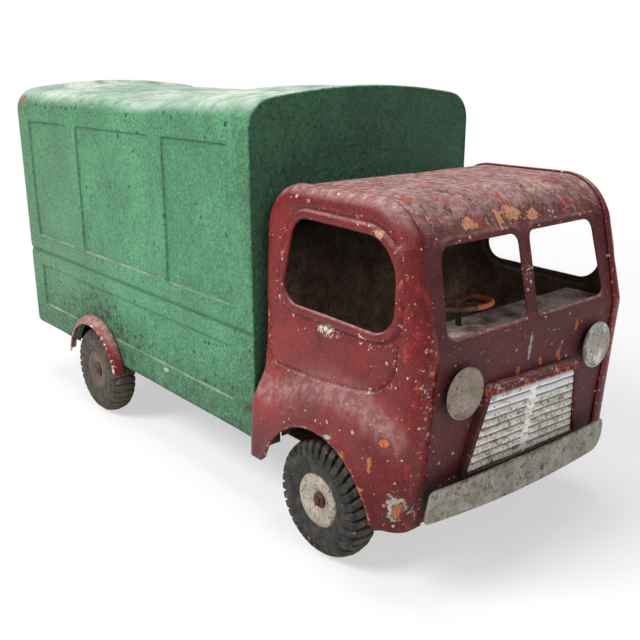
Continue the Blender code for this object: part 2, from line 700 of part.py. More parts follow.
# ---------------------------------------------------------------- front panel fittings
FRONT_LEAN = math.atan2(CAB_FRONT_BOTTOM_Y - CAB_NOSE_Y, CAB_NOSE_Z - CAB_BOTTOM_Z)
GRILLE_Z = 0.0900
GRILLE_TOP, GRILLE_BOTTOM = 0.0275, -0.0280
GRILLE_TOP_HALF, GRILLE_BOTTOM_HALF = 0.0447, 0.0571
GRILLE_BAND = 0.0030
GRILLE_TOP_BAND = 0.0060
GRILLE_DEPTH = 0.0055
RIB_COUNT = 9
RIB_HEIGHT = 0.0014
SPINE_HALF_WIDTH = 0.0035


def front_y(z):
    """Outer face of the front panel below the nose."""
    slope = (CAB_FRONT_BOTTOM_Y - CAB_NOSE_Y) / (CAB_NOSE_Z - CAB_BOTTOM_Z)
    return CAB_NOSE_Y + FRONT_SHEET_INSET + slope * (CAB_NOSE_Z - z)


def on_front(out):
    """Plane of a plate on the leaning front panel, out from its face: outline (x, up the panel)."""
    lean = Matrix.Rotation(FRONT_LEAN, 4, "X")
    return Matrix.Translation((0, front_y(GRILLE_Z), GRILLE_Z)) @ lean @ across(-out)


def trapezoid(inset, radius, top_inset=0.0):
    top, bottom = GRILLE_TOP - top_inset, GRILLE_BOTTOM + inset
    top_half, bottom_half = GRILLE_TOP_HALF - inset, GRILLE_BOTTOM_HALF - inset
    return rounded([(-bottom_half, bottom, radius, 2), (bottom_half, bottom, radius, 2),
                    (top_half, top, radius, 3), (-top_half, top, radius, 3)])


def build_grille():
    maroon = paint("cab_maroon", MAROON, 0.45)
    loops = [trapezoid(0, 0.005), trapezoid(GRILLE_BAND, 0.003, GRILLE_TOP_BAND)]
    plate("grille_frame", loops, GRILLE_DEPTH, on_front(GAP + GRILLE_DEPTH / 2), maroon)
    ribs = []
    low, high = GRILLE_BOTTOM + GRILLE_BAND, GRILLE_TOP - GRILLE_TOP_BAND
    pitch = (high - low) / RIB_COUNT
    for i in range(RIB_COUNT):
        start = low + i * pitch
        ribs += [(0, start), (RIB_HEIGHT, start + pitch * 0.25), (RIB_HEIGHT, start + pitch * 0.75)]
    ribs.append((0, high))
    bm = bmesh.new()
    base = GRILLE_DEPTH - RIB_HEIGHT
    place = on_front(0)
    loft(bm, [[place @ Vector((x, up, base + out)) for out, up in ribs] for x in (-0.06, 0.06)])
    face_away_from(bm, (0, 0, GRILLE_Z))
    grille = thicken(add_object("grille_plate", bm, paint("grille_silver", SILVER, 0.5, 0.6)), 0.0008)
    inner = trapezoid(GRILLE_BAND + GAP, 0.003, GRILLE_TOP_BAND + GAP)
    edge = plate("grille_edge", [inner], 0.02, on_front(0), collection=CUTTERS)
    half, foot, head = SPINE_HALF_WIDTH, low + 0.001, high - 0.001
    spine_edge = [(-half, foot), (half, foot), (half, head), (-half, head)]
    spine = plate("grille_spine", [spine_edge], 0.0016, on_front(base + 0.0010), collection=CUTTERS)
    combine(grille, spine, "UNION")
    combine(grille, edge, "INTERSECT")


LAMP_X, LAMP_Z, LAMP_RADIUS = 0.0636, 0.1216, 0.0150


def build_headlamps():
    rust = paint("lamp_back", RUST, 0.8, 0.3)
    silver = paint("lamp_silver", SILVER, 0.45, 0.6)
    forward = (math.pi / 2, 0, 0)
    for label, side in SIDES.items():
        centre = (side * LAMP_X, front_y(LAMP_Z) - 0.0010 - GAP, LAMP_Z)
        back = [(0.0045, 0.0034), (0.0100, 0.0034), (0.0100, 0.0), (0.0045, 0.0)]
        turned(f"headlamp_back_{label}", back, 20, rust, centre, forward)
        profile = [(0.0, 0.0058), (0.0070, 0.0055), (0.0128, 0.0046), (0.0140, 0.0052),
                   (LAMP_RADIUS, 0.0046), (LAMP_RADIUS, 0.0037), (0.0, 0.0037)]
        spun(f"headlamp_disc_{label}", profile, 24, silver, centre, forward)


# ---------------------------------------------------------------- box body
def van_section(inset, corner_segments=6, crown_segments=8):
    """Cross-section of the box (x, z): up one side, over the crown, down the other."""
    half, rise = VAN_HALF_WIDTH, VAN_CROWN_Z - VAN_SHOULDER_Z
    crown_radius = (half * half + rise * rise) / (2 * rise)
    reach = math.degrees(math.asin(half / crown_radius))
    crown = arc((0, VAN_CROWN_Z - crown_radius), crown_radius, 90 + reach, 90 - reach, crown_segments)
    corners = [(-half, VAN_BOTTOM_Z, 0, 0), (*crown[0], VAN_CORNER_RADIUS, corner_segments)]
    corners += [(x, z, 0, 0) for x, z in crown[2:-2]]
    corners += [(*crown[-1], VAN_CORNER_RADIUS, corner_segments), (half, VAN_BOTTOM_Z, 0, 0)]
    return offset(rounded(corners, closed=False), inset)[0]


def van_shell(material):
    """Sides and roof of the box, one wrapped sheet with a wheel cut-out in each side."""
    section = van_section(0)
    bm = bmesh.new()
    loft(bm, [[(x, y, z) for x, z in section] for y in (VAN_FRONT_Y, VAN_REAR_Y)])
    face_away_from(bm, (0, VAN_FRONT_Y + VAN_LENGTH / 2, 0.15))
    shell = thicken(add_object("van_sides_and_roof", bm, material))
    reach, axle_y = VAN_HALF_WIDTH * 1.5, AXLE_Y["rear"]
    wheel_cut = rod("rear_wheel_cut", (-reach, axle_y, TYRE_RADIUS), (reach, axle_y, TYRE_RADIUS),
                    WHEEL_CUT_RADIUS, 32, collection=CUTTERS)
    return combine(shell, wheel_cut, "DIFFERENCE")


def van_inner_outline(gap, bottom_z):
    """Closed outline that fits inside the shell (x, z)."""
    section = van_section(SHEET + gap)
    first, last = section[0], section[-1]
    return [(first[0], bottom_z)] + section[1:-1] + [(last[0], bottom_z)]


def van_floor(material):
    """Floor sheet, cut away round the rear wheels."""
    half, end_gap = VAN_HALF_WIDTH - SHEET - GAP, 0.0025
    floor = block("van_floor", (-half, VAN_FRONT_Y + end_gap, FLOOR_Z),
                  (half, VAN_REAR_Y - end_gap, FLOOR_Z + SHEET), material)
    for label, side in SIDES.items():
        inner, outer = sorted((side * WHEEL_WELL_X, side * VAN_HALF_WIDTH * 1.1))
        well = block(f"wheel_well_{label}", (inner, AXLE_Y["rear"] - WHEEL_CUT_RADIUS, FLOOR_Z - 0.005),
                     (outer, AXLE_Y["rear"] + WHEEL_CUT_RADIUS, FLOOR_Z + 0.005), collection=CUTTERS)
        combine(floor, well, "DIFFERENCE")
    for label in ("rear_right", "rear_left"):
        combine(floor, screw_hole(*SCREW_SPOTS[label]), "DIFFERENCE")


def rear_mudguard(name, side, material):
    """Half-round hood over a rear wheel, standing out from the box's side."""
    start = VAN_HALF_WIDTH + GAP - TRACK_HALF
    crest = [(0.0480, start), (0.0476, start + 0.0028), (0.0458, start + 0.0056), (0.0434, start + 0.0074),
             (0.0408, start + 0.0078)]
    low_angle = math.radians(13)
    hood = turned(name, crest, 18, material, (side * TRACK_HALF, AXLE_Y["rear"], TYRE_RADIUS), (0, 0, 0),
                  angle=180 - 2 * math.degrees(low_angle))
    level_part, rise = side * math.cos(low_angle), math.sin(low_angle)
    turn = Matrix(((0, 0, side), (level_part, -side * rise, 0), (rise, math.cos(low_angle), 0)))
    hood.rotation_euler = turn.to_euler()
    return thicken(hood)


REAR_FRAME_Y = VAN_REAR_Y - 0.0019


def rear_frame(material):
    """Flat hoop inside the back of the shell, round the door opening; it holds the hinge wires."""
    outer = van_inner_outline(GAP, VAN_BOTTOM_Z + 0.0022)
    inner = van_inner_outline(0.008, VAN_BOTTOM_Z + 0.0100)
    hoop = plate("rear_frame", [outer, inner], SHEET, across(REAR_FRAME_Y), material)
    for side in SIDES.values():
        for z in HINGE_WIRE_Z:
            hole = rod("hinge_wire_hole", (side * DOOR_HINGE_X, REAR_FRAME_Y - 0.002, z),
                       (side * DOOR_HINGE_X, REAR_FRAME_Y + 0.002, z), HINGE_WIRE_RADIUS + GAP, 12,
                       collection=CUTTERS)
            combine(hoop, hole, "DIFFERENCE")


def hinge_pin(name, side, material):
    """Long wire bent into a staple: its legs sit in the hoop, a door's loops turn on its middle."""
    x, foot = side * DOOR_HINGE_X, REAR_FRAME_Y - 0.0003
    low, high = HINGE_WIRE_Z
    points = [(x, foot, low), (x, DOOR_HINGE_Y, low), (x, DOOR_HINGE_Y, high), (x, foot, high)]
    curve = bpy.data.curves.new(name, "CURVE")
    curve.dimensions = "3D"
    curve.bevel_depth = HINGE_WIRE_RADIUS
    curve.bevel_resolution = 2
    curve.use_fill_caps = True
    spline = curve.splines.new("POLY")
    spline.points.add(len(points) - 1)
    for point, place in zip(spline.points, points):
        point.co = (*place, 1)
    return mesh_of_curve(name, curve, Matrix(), material)


def rear_door(name, side, material):
    """One leaf of the rear doors, with two rolled loops round the hinge wire and a notch at each leg."""
    outline = van_inner_outline(DOOR_EDGE_GAP, DOOR_BOTTOM_Z)
    seam = [(side * DOOR_SEAM, DOOR_BOTTOM_Z), (side * DOOR_SEAM, max(z for x, z in outline))]
    first, last = seam if side == RIGHT else seam[::-1]
    leaf = [first] + [(x, z) for x, z in outline if x * side > DOOR_SEAM] + [last]
    door = plate(name, [leaf], SHEET, across(VAN_REAR_Y + SHEET / 2 - GAP), material)
    x, y = side * DOOR_HINGE_X, DOOR_HINGE_Y
    strap_end, strap_half_height = side * (DOOR_HINGE_X - 0.0073), LOOP_HALF_HEIGHT - 0.0005
    for i, z in enumerate(LOOP_Z):
        loop = rod(f"{name}_loop_{i}", (x, y, z - LOOP_HALF_HEIGHT), (x, y, z + LOOP_HALF_HEIGHT),
                   LOOP_RADIUS, 14, collection=CUTTERS)
        strap = block(f"{name}_strap_{i}", (strap_end, VAN_REAR_Y + 0.0003, z - strap_half_height),
                      (x, VAN_REAR_Y + 0.0011, z + strap_half_height), collection=CUTTERS)
        combine(door, loop, "UNION")
        combine(door, strap, "UNION")
    low, high = HINGE_WIRE_Z
    bore = rod(f"{name}_bore", (x, y, low), (x, y, high), HINGE_WIRE_RADIUS + GAP, 14, collection=CUTTERS)
    combine(door, bore, "DIFFERENCE")
    inner, outer = sorted((side * (DOOR_HINGE_X - 0.0020), side * VAN_HALF_WIDTH))
    for i, z in enumerate(HINGE_WIRE_Z):
        notch = block(f"{name}_notch_{i}", (inner, VAN_REAR_Y - 0.002, z - 0.0014),
                      (outer, VAN_REAR_Y + 0.002, z + 0.0014), collection=CUTTERS)
        combine(door, notch, "DIFFERENCE")
    return hang(door, (x, y, DOOR_BOTTOM_Z))


def door_handle(material):
    """Turn handle on its short spindle, on the right-hand door's free edge."""
    low, high = HANDLE_Z - HANDLE_HALF_WIDTH, HANDLE_Z + HANDLE_LENGTH
    left, right = -HANDLE_X - HANDLE_HALF_WIDTH, -HANDLE_X + HANDLE_HALF_WIDTH
    outline = rounded([(left, low, 0.0015, 2), (right, low, 0.0015, 2), (right, high, 0.0024, 3),
                       (left, high, 0.0024, 3)])
    bar = plate("door_handle", [outline], 0.0018, across(VAN_REAR_Y + 0.0041), material)
    spindle = rod("handle_spindle", (-HANDLE_X, VAN_REAR_Y + 0.0010, HANDLE_Z),
                  (-HANDLE_X, VAN_REAR_Y + 0.0060, HANDLE_Z), SPINDLE_RADIUS, 12, collection=CUTTERS)
    combine(bar, spindle, "UNION")
    return hang(bar, (-HANDLE_X, VAN_REAR_Y, HANDLE_Z))


def build_van():
    green = paint("van_green", GREEN, 0.5)
    dark = paint("van_green_dark", GREEN_DARK, 0.55)
    maroon = paint("cab_maroon", MAROON, 0.45)
    steel = paint("door_steel", STEEL, 0.5, 0.7)
    van_shell(green)
    plate("van_front_wall", [van_inner_outline(GAP, VAN_BOTTOM_Z)], SHEET,
          across(VAN_FRONT_Y + 0.0010), dark)
    van_floor(dark)
    rear_frame(dark)
    for label, side in SIDES.items():
        rear_mudguard(f"rear_mudguard_{label}", side, maroon)
        hinge_pin(f"door_hinge_pin_{label}", side, steel)
        rear_door(f"rear_door_{label}", side, green)
    door_handle(steel)


build_wheels()
build_chassis()
build_bumper()
build_cab()
build_grille()
build_headlamps()
build_van()
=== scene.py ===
import math
from bisect import bisect_right
from functools import lru_cache, reduce

import bmesh
import bpy
from mathutils import Matrix, Vector, noise
from mathutils.geometry import delaunay_2d_cdt

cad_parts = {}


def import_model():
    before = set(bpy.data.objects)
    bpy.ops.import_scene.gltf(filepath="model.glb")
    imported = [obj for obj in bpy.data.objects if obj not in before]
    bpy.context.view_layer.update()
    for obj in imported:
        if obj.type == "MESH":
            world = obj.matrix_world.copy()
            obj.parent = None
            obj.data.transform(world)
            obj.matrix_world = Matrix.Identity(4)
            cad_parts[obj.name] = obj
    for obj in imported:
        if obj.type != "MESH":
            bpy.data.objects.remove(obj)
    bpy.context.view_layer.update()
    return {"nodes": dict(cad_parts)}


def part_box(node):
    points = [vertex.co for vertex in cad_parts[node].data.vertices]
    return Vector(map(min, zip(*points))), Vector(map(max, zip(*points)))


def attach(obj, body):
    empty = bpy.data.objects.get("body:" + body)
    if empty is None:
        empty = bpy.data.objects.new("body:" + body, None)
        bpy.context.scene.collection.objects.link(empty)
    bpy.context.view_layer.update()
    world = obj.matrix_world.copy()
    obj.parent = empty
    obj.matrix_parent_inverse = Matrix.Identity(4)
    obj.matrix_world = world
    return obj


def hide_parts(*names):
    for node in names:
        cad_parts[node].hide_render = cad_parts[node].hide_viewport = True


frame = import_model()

MM = 0.001
SHEET = 1.0 * MM
SIDES = {"right": -1, "left": 1}
ENDS = ("front", "rear")

# Driving sizes, read from the frame
VAN_LOW, VAN_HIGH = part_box("van_sides_and_roof")
VAN_FRONT_Y, VAN_REAR_Y = VAN_LOW.y, VAN_HIGH.y
VAN_HALF, VAN_BOTTOM_Z, VAN_CROWN_Z = VAN_HIGH.x, VAN_LOW.z, VAN_HIGH.z
CAB_LOW, CAB_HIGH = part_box("cab_side_left")
CAB_ROOF_Z, CAB_BOTTOM_Z = CAB_HIGH.z, CAB_LOW.z
FRONT_SHEET_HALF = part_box("cab_front_and_roof")[1].x


def middle(node):
    low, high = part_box(node)
    return (low + high) / 2


AXLE = {end: middle(f"axle_{end}") for end in ENDS}
TYRE_RADIUS = AXLE["front"].z


# ---------------------------------------------------------------- small maths
def smooth_step(value, start, end):
    t = min(max((value - start) / (end - start), 0.0), 1.0)
    return t * t * (3 - 2 * t)


def bell(value, centre, width):
    return math.exp(-((value - centre) / width) ** 2)


def wander(point, size, seed=0.0):
    """Smooth noise from -1 to 1, with features of about the given size."""
    return noise.noise(Vector(point) / size + Vector((seed, seed * 1.7, seed * 0.3)))


def off_axle(p, centre):
    """Distance of a point from an axle that runs across the van."""
    return math.hypot(p.y - centre.y, p.z - centre.z)


def in_mm(*rows):
    return [tuple(v * MM for v in row) for row in rows]


def arc(centre, radius, start, end, count):
    angles = [math.radians(start + (end - start) * i / count) for i in range(count + 1)]
    return [(centre[0] + radius * math.cos(a), centre[1] + radius * math.sin(a)) for a in angles]


def rounded(corners, closed=True):
    """Outline through corners (x, y, radius, segments); a bare (x, y) stays sharp."""
    points = []
    for i, (x, y, *bend) in enumerate(corners):
        if not bend or (not closed and i in (0, len(corners) - 1)):
            points.append((x, y))
            continue
        here, (radius, segments) = Vector((x, y)), bend
        before = (Vector(corners[i - 1][:2]) - here).normalized()
        after = (Vector(corners[(i + 1) % len(corners)][:2]) - here).normalized()
        half = before.angle(after) / 2
        centre = here + (before + after).normalized() * radius / math.sin(half)
        first = here + before * radius / math.tan(half) - centre
        last = here + after * radius / math.tan(half) - centre
        sweep = first.angle_signed(last)
        for j in range(segments + 1):
            points.append(tuple(centre + Matrix.Rotation(-sweep * j / segments, 2) @ first))
    return points


def neighbours(points, closed=True):
    """Pairs of neighbours along a line of points."""
    return zip(points, points[1:] + points[:1] if closed else points[1:])


def resample(points, spacing, closed=False):
    """The same line with a point at least every spacing."""
    out = []
    for a, b in neighbours(points, closed):
        a, b = Vector(a), Vector(b)
        count = max(1, math.ceil((b - a).length / spacing - 1e-6))
        out += [tuple(a.lerp(b, i / count)) for i in range(count)]
    return out if closed else out + [tuple(points[-1])]


def right_normals(path):
    """Unit normals to the right of each point of an open path."""
    normals = []
    for i in range(len(path)):
        along = Vector(path[min(i + 1, len(path) - 1)]) - Vector(path[max(i - 1, 0)])
        along.normalize()
        normals.append(Vector((along.y, -along.x)))
    return normals


def inside(point, loop):
    x, y = point
    hit = False
    for (x0, y0), (x1, y1) in neighbours(loop):
        if (y0 > y) != (y1 > y) and x < x0 + (y - y0) * (x1 - x0) / (y1 - y0):
            hit = not hit
    return hit


def distance_to(loop, point, closed=True):
    """Distance from a point to a line of points, negative inside a closed one."""
    px, py = point
    best = 1e9
    for (x0, y0), (x1, y1) in neighbours(loop, closed):
        dx, dy = x1 - x0, y1 - y0
        t = min(max(((px - x0) * dx + (py - y0) * dy) / (dx * dx + dy * dy + 1e-18), 0.0), 1.0)
        best = min(best, math.hypot(px - x0 - t * dx, py - y0 - t * dy))
    return -best if closed and inside(point, loop) else best


def grown(loop, distance):
    """A closed loop moved outwards by distance."""
    area = sum(a[0] * b[1] - b[0] * a[1] for a, b in neighbours(loop))
    turn = 1 if area > 0 else -1
    out = []
    for i, point in enumerate(loop):
        along = (Vector(loop[(i + 1) % len(loop)]) - Vector(loop[i - 1])).normalized()
        out.append((point[0] + along.y * distance * turn, point[1] - along.x * distance * turn))
    return out


# ---------------------------------------------------------------- mesh building
def piece(name, bm, body, material, replaces=(), angle=40, thickness=0.0, lining=None, offset=-1):
    """A finished mesh object that rides on a body of the frame and may stand for CAD nodes."""
    mesh = bpy.data.meshes.new(name)
    bm.to_mesh(mesh)
    bm.free()
    obj = bpy.data.objects.new(name, mesh)
    bpy.context.scene.collection.objects.link(obj)
    mesh.materials.append(material)
    mesh.shade_smooth()
    mesh.set_sharp_from_angle(angle=math.radians(angle))
    if thickness:
        solidify = obj.modifiers.new("Thickness", "SOLIDIFY")
        solidify.thickness = thickness
        solidify.offset = offset
        if lining:
            mesh.materials.append(lining)
            solidify.material_offset = 1
    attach(obj, body)
    if replaces:
        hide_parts(*replaces)
    return obj


def finish_node(node, material):
    """A CAD node whose shape is kept gets its finish."""
    obj = frame["nodes"][node]
    obj.data.materials.clear()
    obj.data.materials.append(material)
    obj.data.shade_smooth()
    obj.data.set_sharp_from_angle(angle=math.radians(35))


def face_away_from(bm, point):
    bmesh.ops.recalc_face_normals(bm, faces=bm.faces)
    away = sum(f.calc_area() * f.normal.dot(f.calc_center_median() - Vector(point)) for f in bm.faces)
    if away < 0:
        bmesh.ops.reverse_faces(bm, faces=bm.faces)


def grid(bm, rows, around=False, along=False):
    """Quads between rows of points; around closes each row, along joins the last row to the first."""
    verts = [[bm.verts.new(point) for point in row] for row in rows]
    pairs = list(zip(verts, verts[1:])) + ([(verts[-1], verts[0])] if along else [])
    for near, far in pairs:
        count = len(near)
        for i in range(count if around else count - 1):
            j = (i + 1) % count
            bm.faces.new((near[i], near[j], far[j], far[i]))
    return verts


def turned(profile, steps, place, shape=None):
    """A profile (radius, height) turned about the local Z axis; shape(angle, radius, height) bends it.

    The profile starts and ends on the axis, or it is the section of a ring.
    """
    rows = []
    for i in range(steps):
        angle = 2 * math.pi * i / steps
        row = []
        for radius, height in profile:
            r, h = shape(angle, radius, height) if shape else (radius, height)
            row.append(place @ Vector((r * math.cos(angle), r * math.sin(angle), h)))
        rows.append(row)
    bm = bmesh.new()
    verts = grid(bm, rows, along=True)
    if profile[0][0] > 0:
        bmesh.ops.bridge_loops(bm, edges=[e for e in bm.edges if len(e.link_faces) == 1])
    else:
        for end in (0, -1):
            bmesh.ops.remove_doubles(bm, verts=[row[end] for row in verts], dist=1e-7)
        bmesh.ops.remove_doubles(bm, verts=bm.verts, dist=1e-7)
    bmesh.ops.recalc_face_normals(bm, faces=bm.faces)
    return bm


def tube(path, radius, segments, closed):
    """A round wire along 3-D points."""
    bm = bmesh.new()
    count = len(path)
    rows = []
    across = None
    for i, point in enumerate(path):
        before = path[i - 1] if closed or i else point
        after = path[(i + 1) % count] if closed or i < count - 1 else point
        along = (after - before).normalized()
        if across is None:
            across = along.orthogonal().normalized()
        across = (across - along * across.dot(along)).normalized()
        up = along.cross(across)
        rows.append([point + (across * math.cos(a) + up * math.sin(a)) * radius
                     for a in (2 * math.pi * k / segments for k in range(segments))])
    verts = grid(bm, rows, around=True, along=closed)
    if not closed:
        bm.faces.new(verts[0])
        bm.faces.new(verts[-1])
    bmesh.ops.recalc_face_normals(bm, faces=bm.faces)
    return bm


def flat_fill(outer, holes, extra, spacing):
    """Points and triangles between an outline and its holes, with extra points to carry detail."""
    points, edges = [], []
    for loop in [outer] + holes:
        start, count = len(points), len(loop)
        points += [Vector(p) for p in loop]
        edges += [(start + i, start + (i + 1) % count) for i in range(count)]
    cells = {}

    def cell(p):
        return int(p[0] // spacing), int(p[1] // spacing)

    def free(p, gap):
        a, b = cell(p)
        near = [q for i in (a - 1, a, a + 1) for j in (b - 1, b, b + 1) for q in cells.get((i, j), ())]
        if any((Vector(p) - q).length < gap for q in near):
            return False
        return inside(p, outer) and not any(inside(p, hole) for hole in holes)

    for p in points:
        cells.setdefault(cell(p), []).append(p)
    lows = [min(p[k] for p in outer) for k in (0, 1)]
    highs = [max(p[k] for p in outer) for k in (0, 1)]
    step = spacing * 0.866
    even = [(lows[0] + (i + 0.5 * (j % 2)) * spacing, lows[1] + j * step)
            for i in range(1, int((highs[0] - lows[0]) / spacing) + 1)
            for j in range(1, int((highs[1] - lows[1]) / step) + 1)]
    for wanted, gap in ((extra, 0.45 * MM), (even, spacing * 0.5)):
        for p in wanted:
            if free(p, gap):
                points.append(Vector(p))
                cells.setdefault(cell(p), []).append(points[-1])
    inside_edges = 1
    flat, _, triangles, *_ = delaunay_2d_cdt(points, edges, [], inside_edges, 1e-7)
    kept = []
    for triangle in triangles:
        centre = sum((flat[i] for i in triangle), Vector((0, 0))) / 3
        if inside(centre, outer) and not any(inside(centre, hole) for hole in holes):
            kept.append(triangle)
    return flat, kept


def stretch(bm, sheet, place):
    """Faces of a flat_fill, put in space by place(u, v)."""
    flat, triangles = sheet
    verts = {i: bm.verts.new(place(flat[i].x, flat[i].y)) for i in sorted({i for t in triangles for i in t})}
    for triangle in triangles:
        bm.faces.new([verts[i] for i in triangle])


# ---------------------------------------------------------------- material building
def shade(tone, factor, lift=0.0):
    return tuple(min(c * factor + lift, 0.95) for c in tone)


class Finish:
    """The node tree of one material, painted coat by coat; sizes are in metres of the frame."""

    def __init__(self, name):
        self.material = bpy.data.materials.new(name)
        self.material.use_nodes = True
        self.tree = self.material.node_tree
        self.shader = self.tree.nodes["Principled BSDF"]
        self.place = self.tree.nodes.new("ShaderNodeTexCoord").outputs["Object"]
        split = self.tree.nodes.new("ShaderNodeSeparateXYZ")
        self.join(self.place, split.inputs[0])
        self.y, self.z = split.outputs["Y"], split.outputs["Z"]
        facing = self.tree.nodes.new("ShaderNodeSeparateXYZ")
        self.join(self.tree.nodes.new("ShaderNodeNewGeometry").outputs["Normal"], facing.inputs[0])
        self.up = facing.outputs["Z"]
        self.colour = (0.8, 0.8, 0.8, 1.0)
        self.uneven = None

    def join(self, value, socket):
        if isinstance(value, bpy.types.NodeSocket):
            self.tree.links.new(value, socket)
        else:
            socket.default_value = value

    def maths(self, operation, a, b=0.0):
        node = self.tree.nodes.new("ShaderNodeMath")
        node.operation = operation
        self.join(a, node.inputs[0])
        self.join(b, node.inputs[1])
        return node.outputs[0]

    def plus(self, *values):
        return reduce(lambda total, value: self.maths("ADD", total, value), values)

    def times(self, *values):
        return reduce(lambda total, value: self.maths("MULTIPLY", total, value), values)

    def most(self, *values):
        return reduce(lambda total, value: self.maths("MAXIMUM", total, value), values)

    def between(self, value, low, high, start=0.0, end=1.0):
        """Takes low..high smoothly to start..end, and holds the ends."""
        node = self.tree.nodes.new("ShaderNodeMapRange")
        node.interpolation_type = "SMOOTHSTEP"
        if low > high:
            low, high, start, end = high, low, end, start
        for socket, setting in zip(node.inputs, (value, low, high, start, end)):
            self.join(setting, socket)
        return node.outputs[0]

    def scaled(self, size, stretch, seed):
        node = self.tree.nodes.new("ShaderNodeMapping")
        self.join(self.place, node.inputs["Vector"])
        node.inputs["Location"].default_value = (seed, seed * 1.7, seed * 0.6)
        node.inputs["Scale"].default_value = [1 / (size * s) for s in stretch]
        return node.outputs[0]

    def noise(self, size, detail=3.0, rough=0.55, stretch=(1, 1, 1), seed=0.0):
        node = self.tree.nodes.new("ShaderNodeTexNoise")
        self.join(self.scaled(size, stretch, seed), node.inputs["Vector"])
        node.inputs["Scale"].default_value = 1.0
        node.inputs["Detail"].default_value = detail
        node.inputs["Roughness"].default_value = rough
        return node.outputs[0]

    def cloud(self, low, high, *size, start=0.0, end=1.0, **kind):
        """Noise taken from low..high to start..end."""
        return self.between(self.noise(*size, **kind), low, high, start, end)

    def specks(self, size, share, soft=0.08, seed=0.0):
        """Round spots, one in some of the cells of a random pattern."""
        node = self.tree.nodes.new("ShaderNodeTexVoronoi")
        self.join(self.scaled(size, (1, 1, 1), seed), node.inputs["Vector"])
        node.inputs["Scale"].default_value = 1.0
        split = self.tree.nodes.new("ShaderNodeSeparateColor")
        self.join(node.outputs["Color"], split.inputs[0])
        chosen = self.maths("LESS_THAN", split.outputs[0], share)
        reach = self.maths("MULTIPLY_ADD", split.outputs[1], 0.25)
        reach.node.inputs[2].default_value = 0.14
        inside_spot = self.maths("SUBTRACT", reach, node.outputs["Distance"])
        return self.times(chosen, self.between(inside_spot, 0.0, soft))

    def blob(self, centre, size, ragged=2.0):
        """1 inside a ragged-edged spot of the given half sizes, 0 outside it."""
        value = self.place
        for operation, setting in (("SUBTRACT", centre), ("DIVIDE", size), ("LENGTH", None)):
            node = self.tree.nodes.new("ShaderNodeVectorMath")
            node.operation = operation
            self.join(value, node.inputs[0])
            if setting:
                self.join(setting, node.inputs[1])
            value = node.outputs["Value" if operation == "LENGTH" else "Vector"]
        if not self.uneven:
            self.uneven = self.maths("SUBTRACT", self.noise(0.0045, 6, 0.75, seed=41), 0.5)
        return self.between(self.plus(value, self.times(self.uneven, 2 * ragged)), 1.0, 0.93)

    def mask(self, name):
        node = self.tree.nodes.new("ShaderNodeAttribute")
        node.attribute_name = name
        return node.outputs["Fac"]

    def mix(self, factor, a, b):
        node = self.tree.nodes.new("ShaderNodeMix")
        node.data_type = "RGBA"
        self.join(factor, node.inputs[0])
        for tone, socket in ((a, node.inputs[6]), (b, node.inputs[7])):
            self.join(tone if isinstance(tone, bpy.types.NodeSocket) else (*tone[:3], 1), socket)
        return node.outputs[2]

    def coat(self, tone, *shares):
        """Lays a tone over the colour so far, where the product of the shares is above 0."""
        self.colour = self.mix(self.times(*shares), self.colour, tone)

    def done(self, roughness, height, relief, metallic=0.0, specular=0.5):
        """height, from 0 to 1, stands for a relief in metres."""
        self.join(self.colour, self.shader.inputs["Base Color"])
        self.join(roughness, self.shader.inputs["Roughness"])
        self.join(metallic, self.shader.inputs["Metallic"])
        self.shader.inputs["Specular IOR Level"].default_value = specular
        bump = self.tree.nodes.new("ShaderNodeBump")
        bump.inputs["Strength"].default_value = 1.0
        bump.inputs["Distance"].default_value = relief
        self.join(height, bump.inputs["Height"])
        self.join(bump.outputs[0], self.shader.inputs["Normal"])
        return self.material


def tint(obj, name, rule):
    """A number from 0 to 1 on each vertex, worked out by rule(position), for a finish to read."""
    values = obj.data.attributes.new(name, "FLOAT", "POINT")
    for vertex, value in zip(obj.data.vertices, values.data):
        value.value = min(max(rule(vertex.co), 0.0), 1.0)


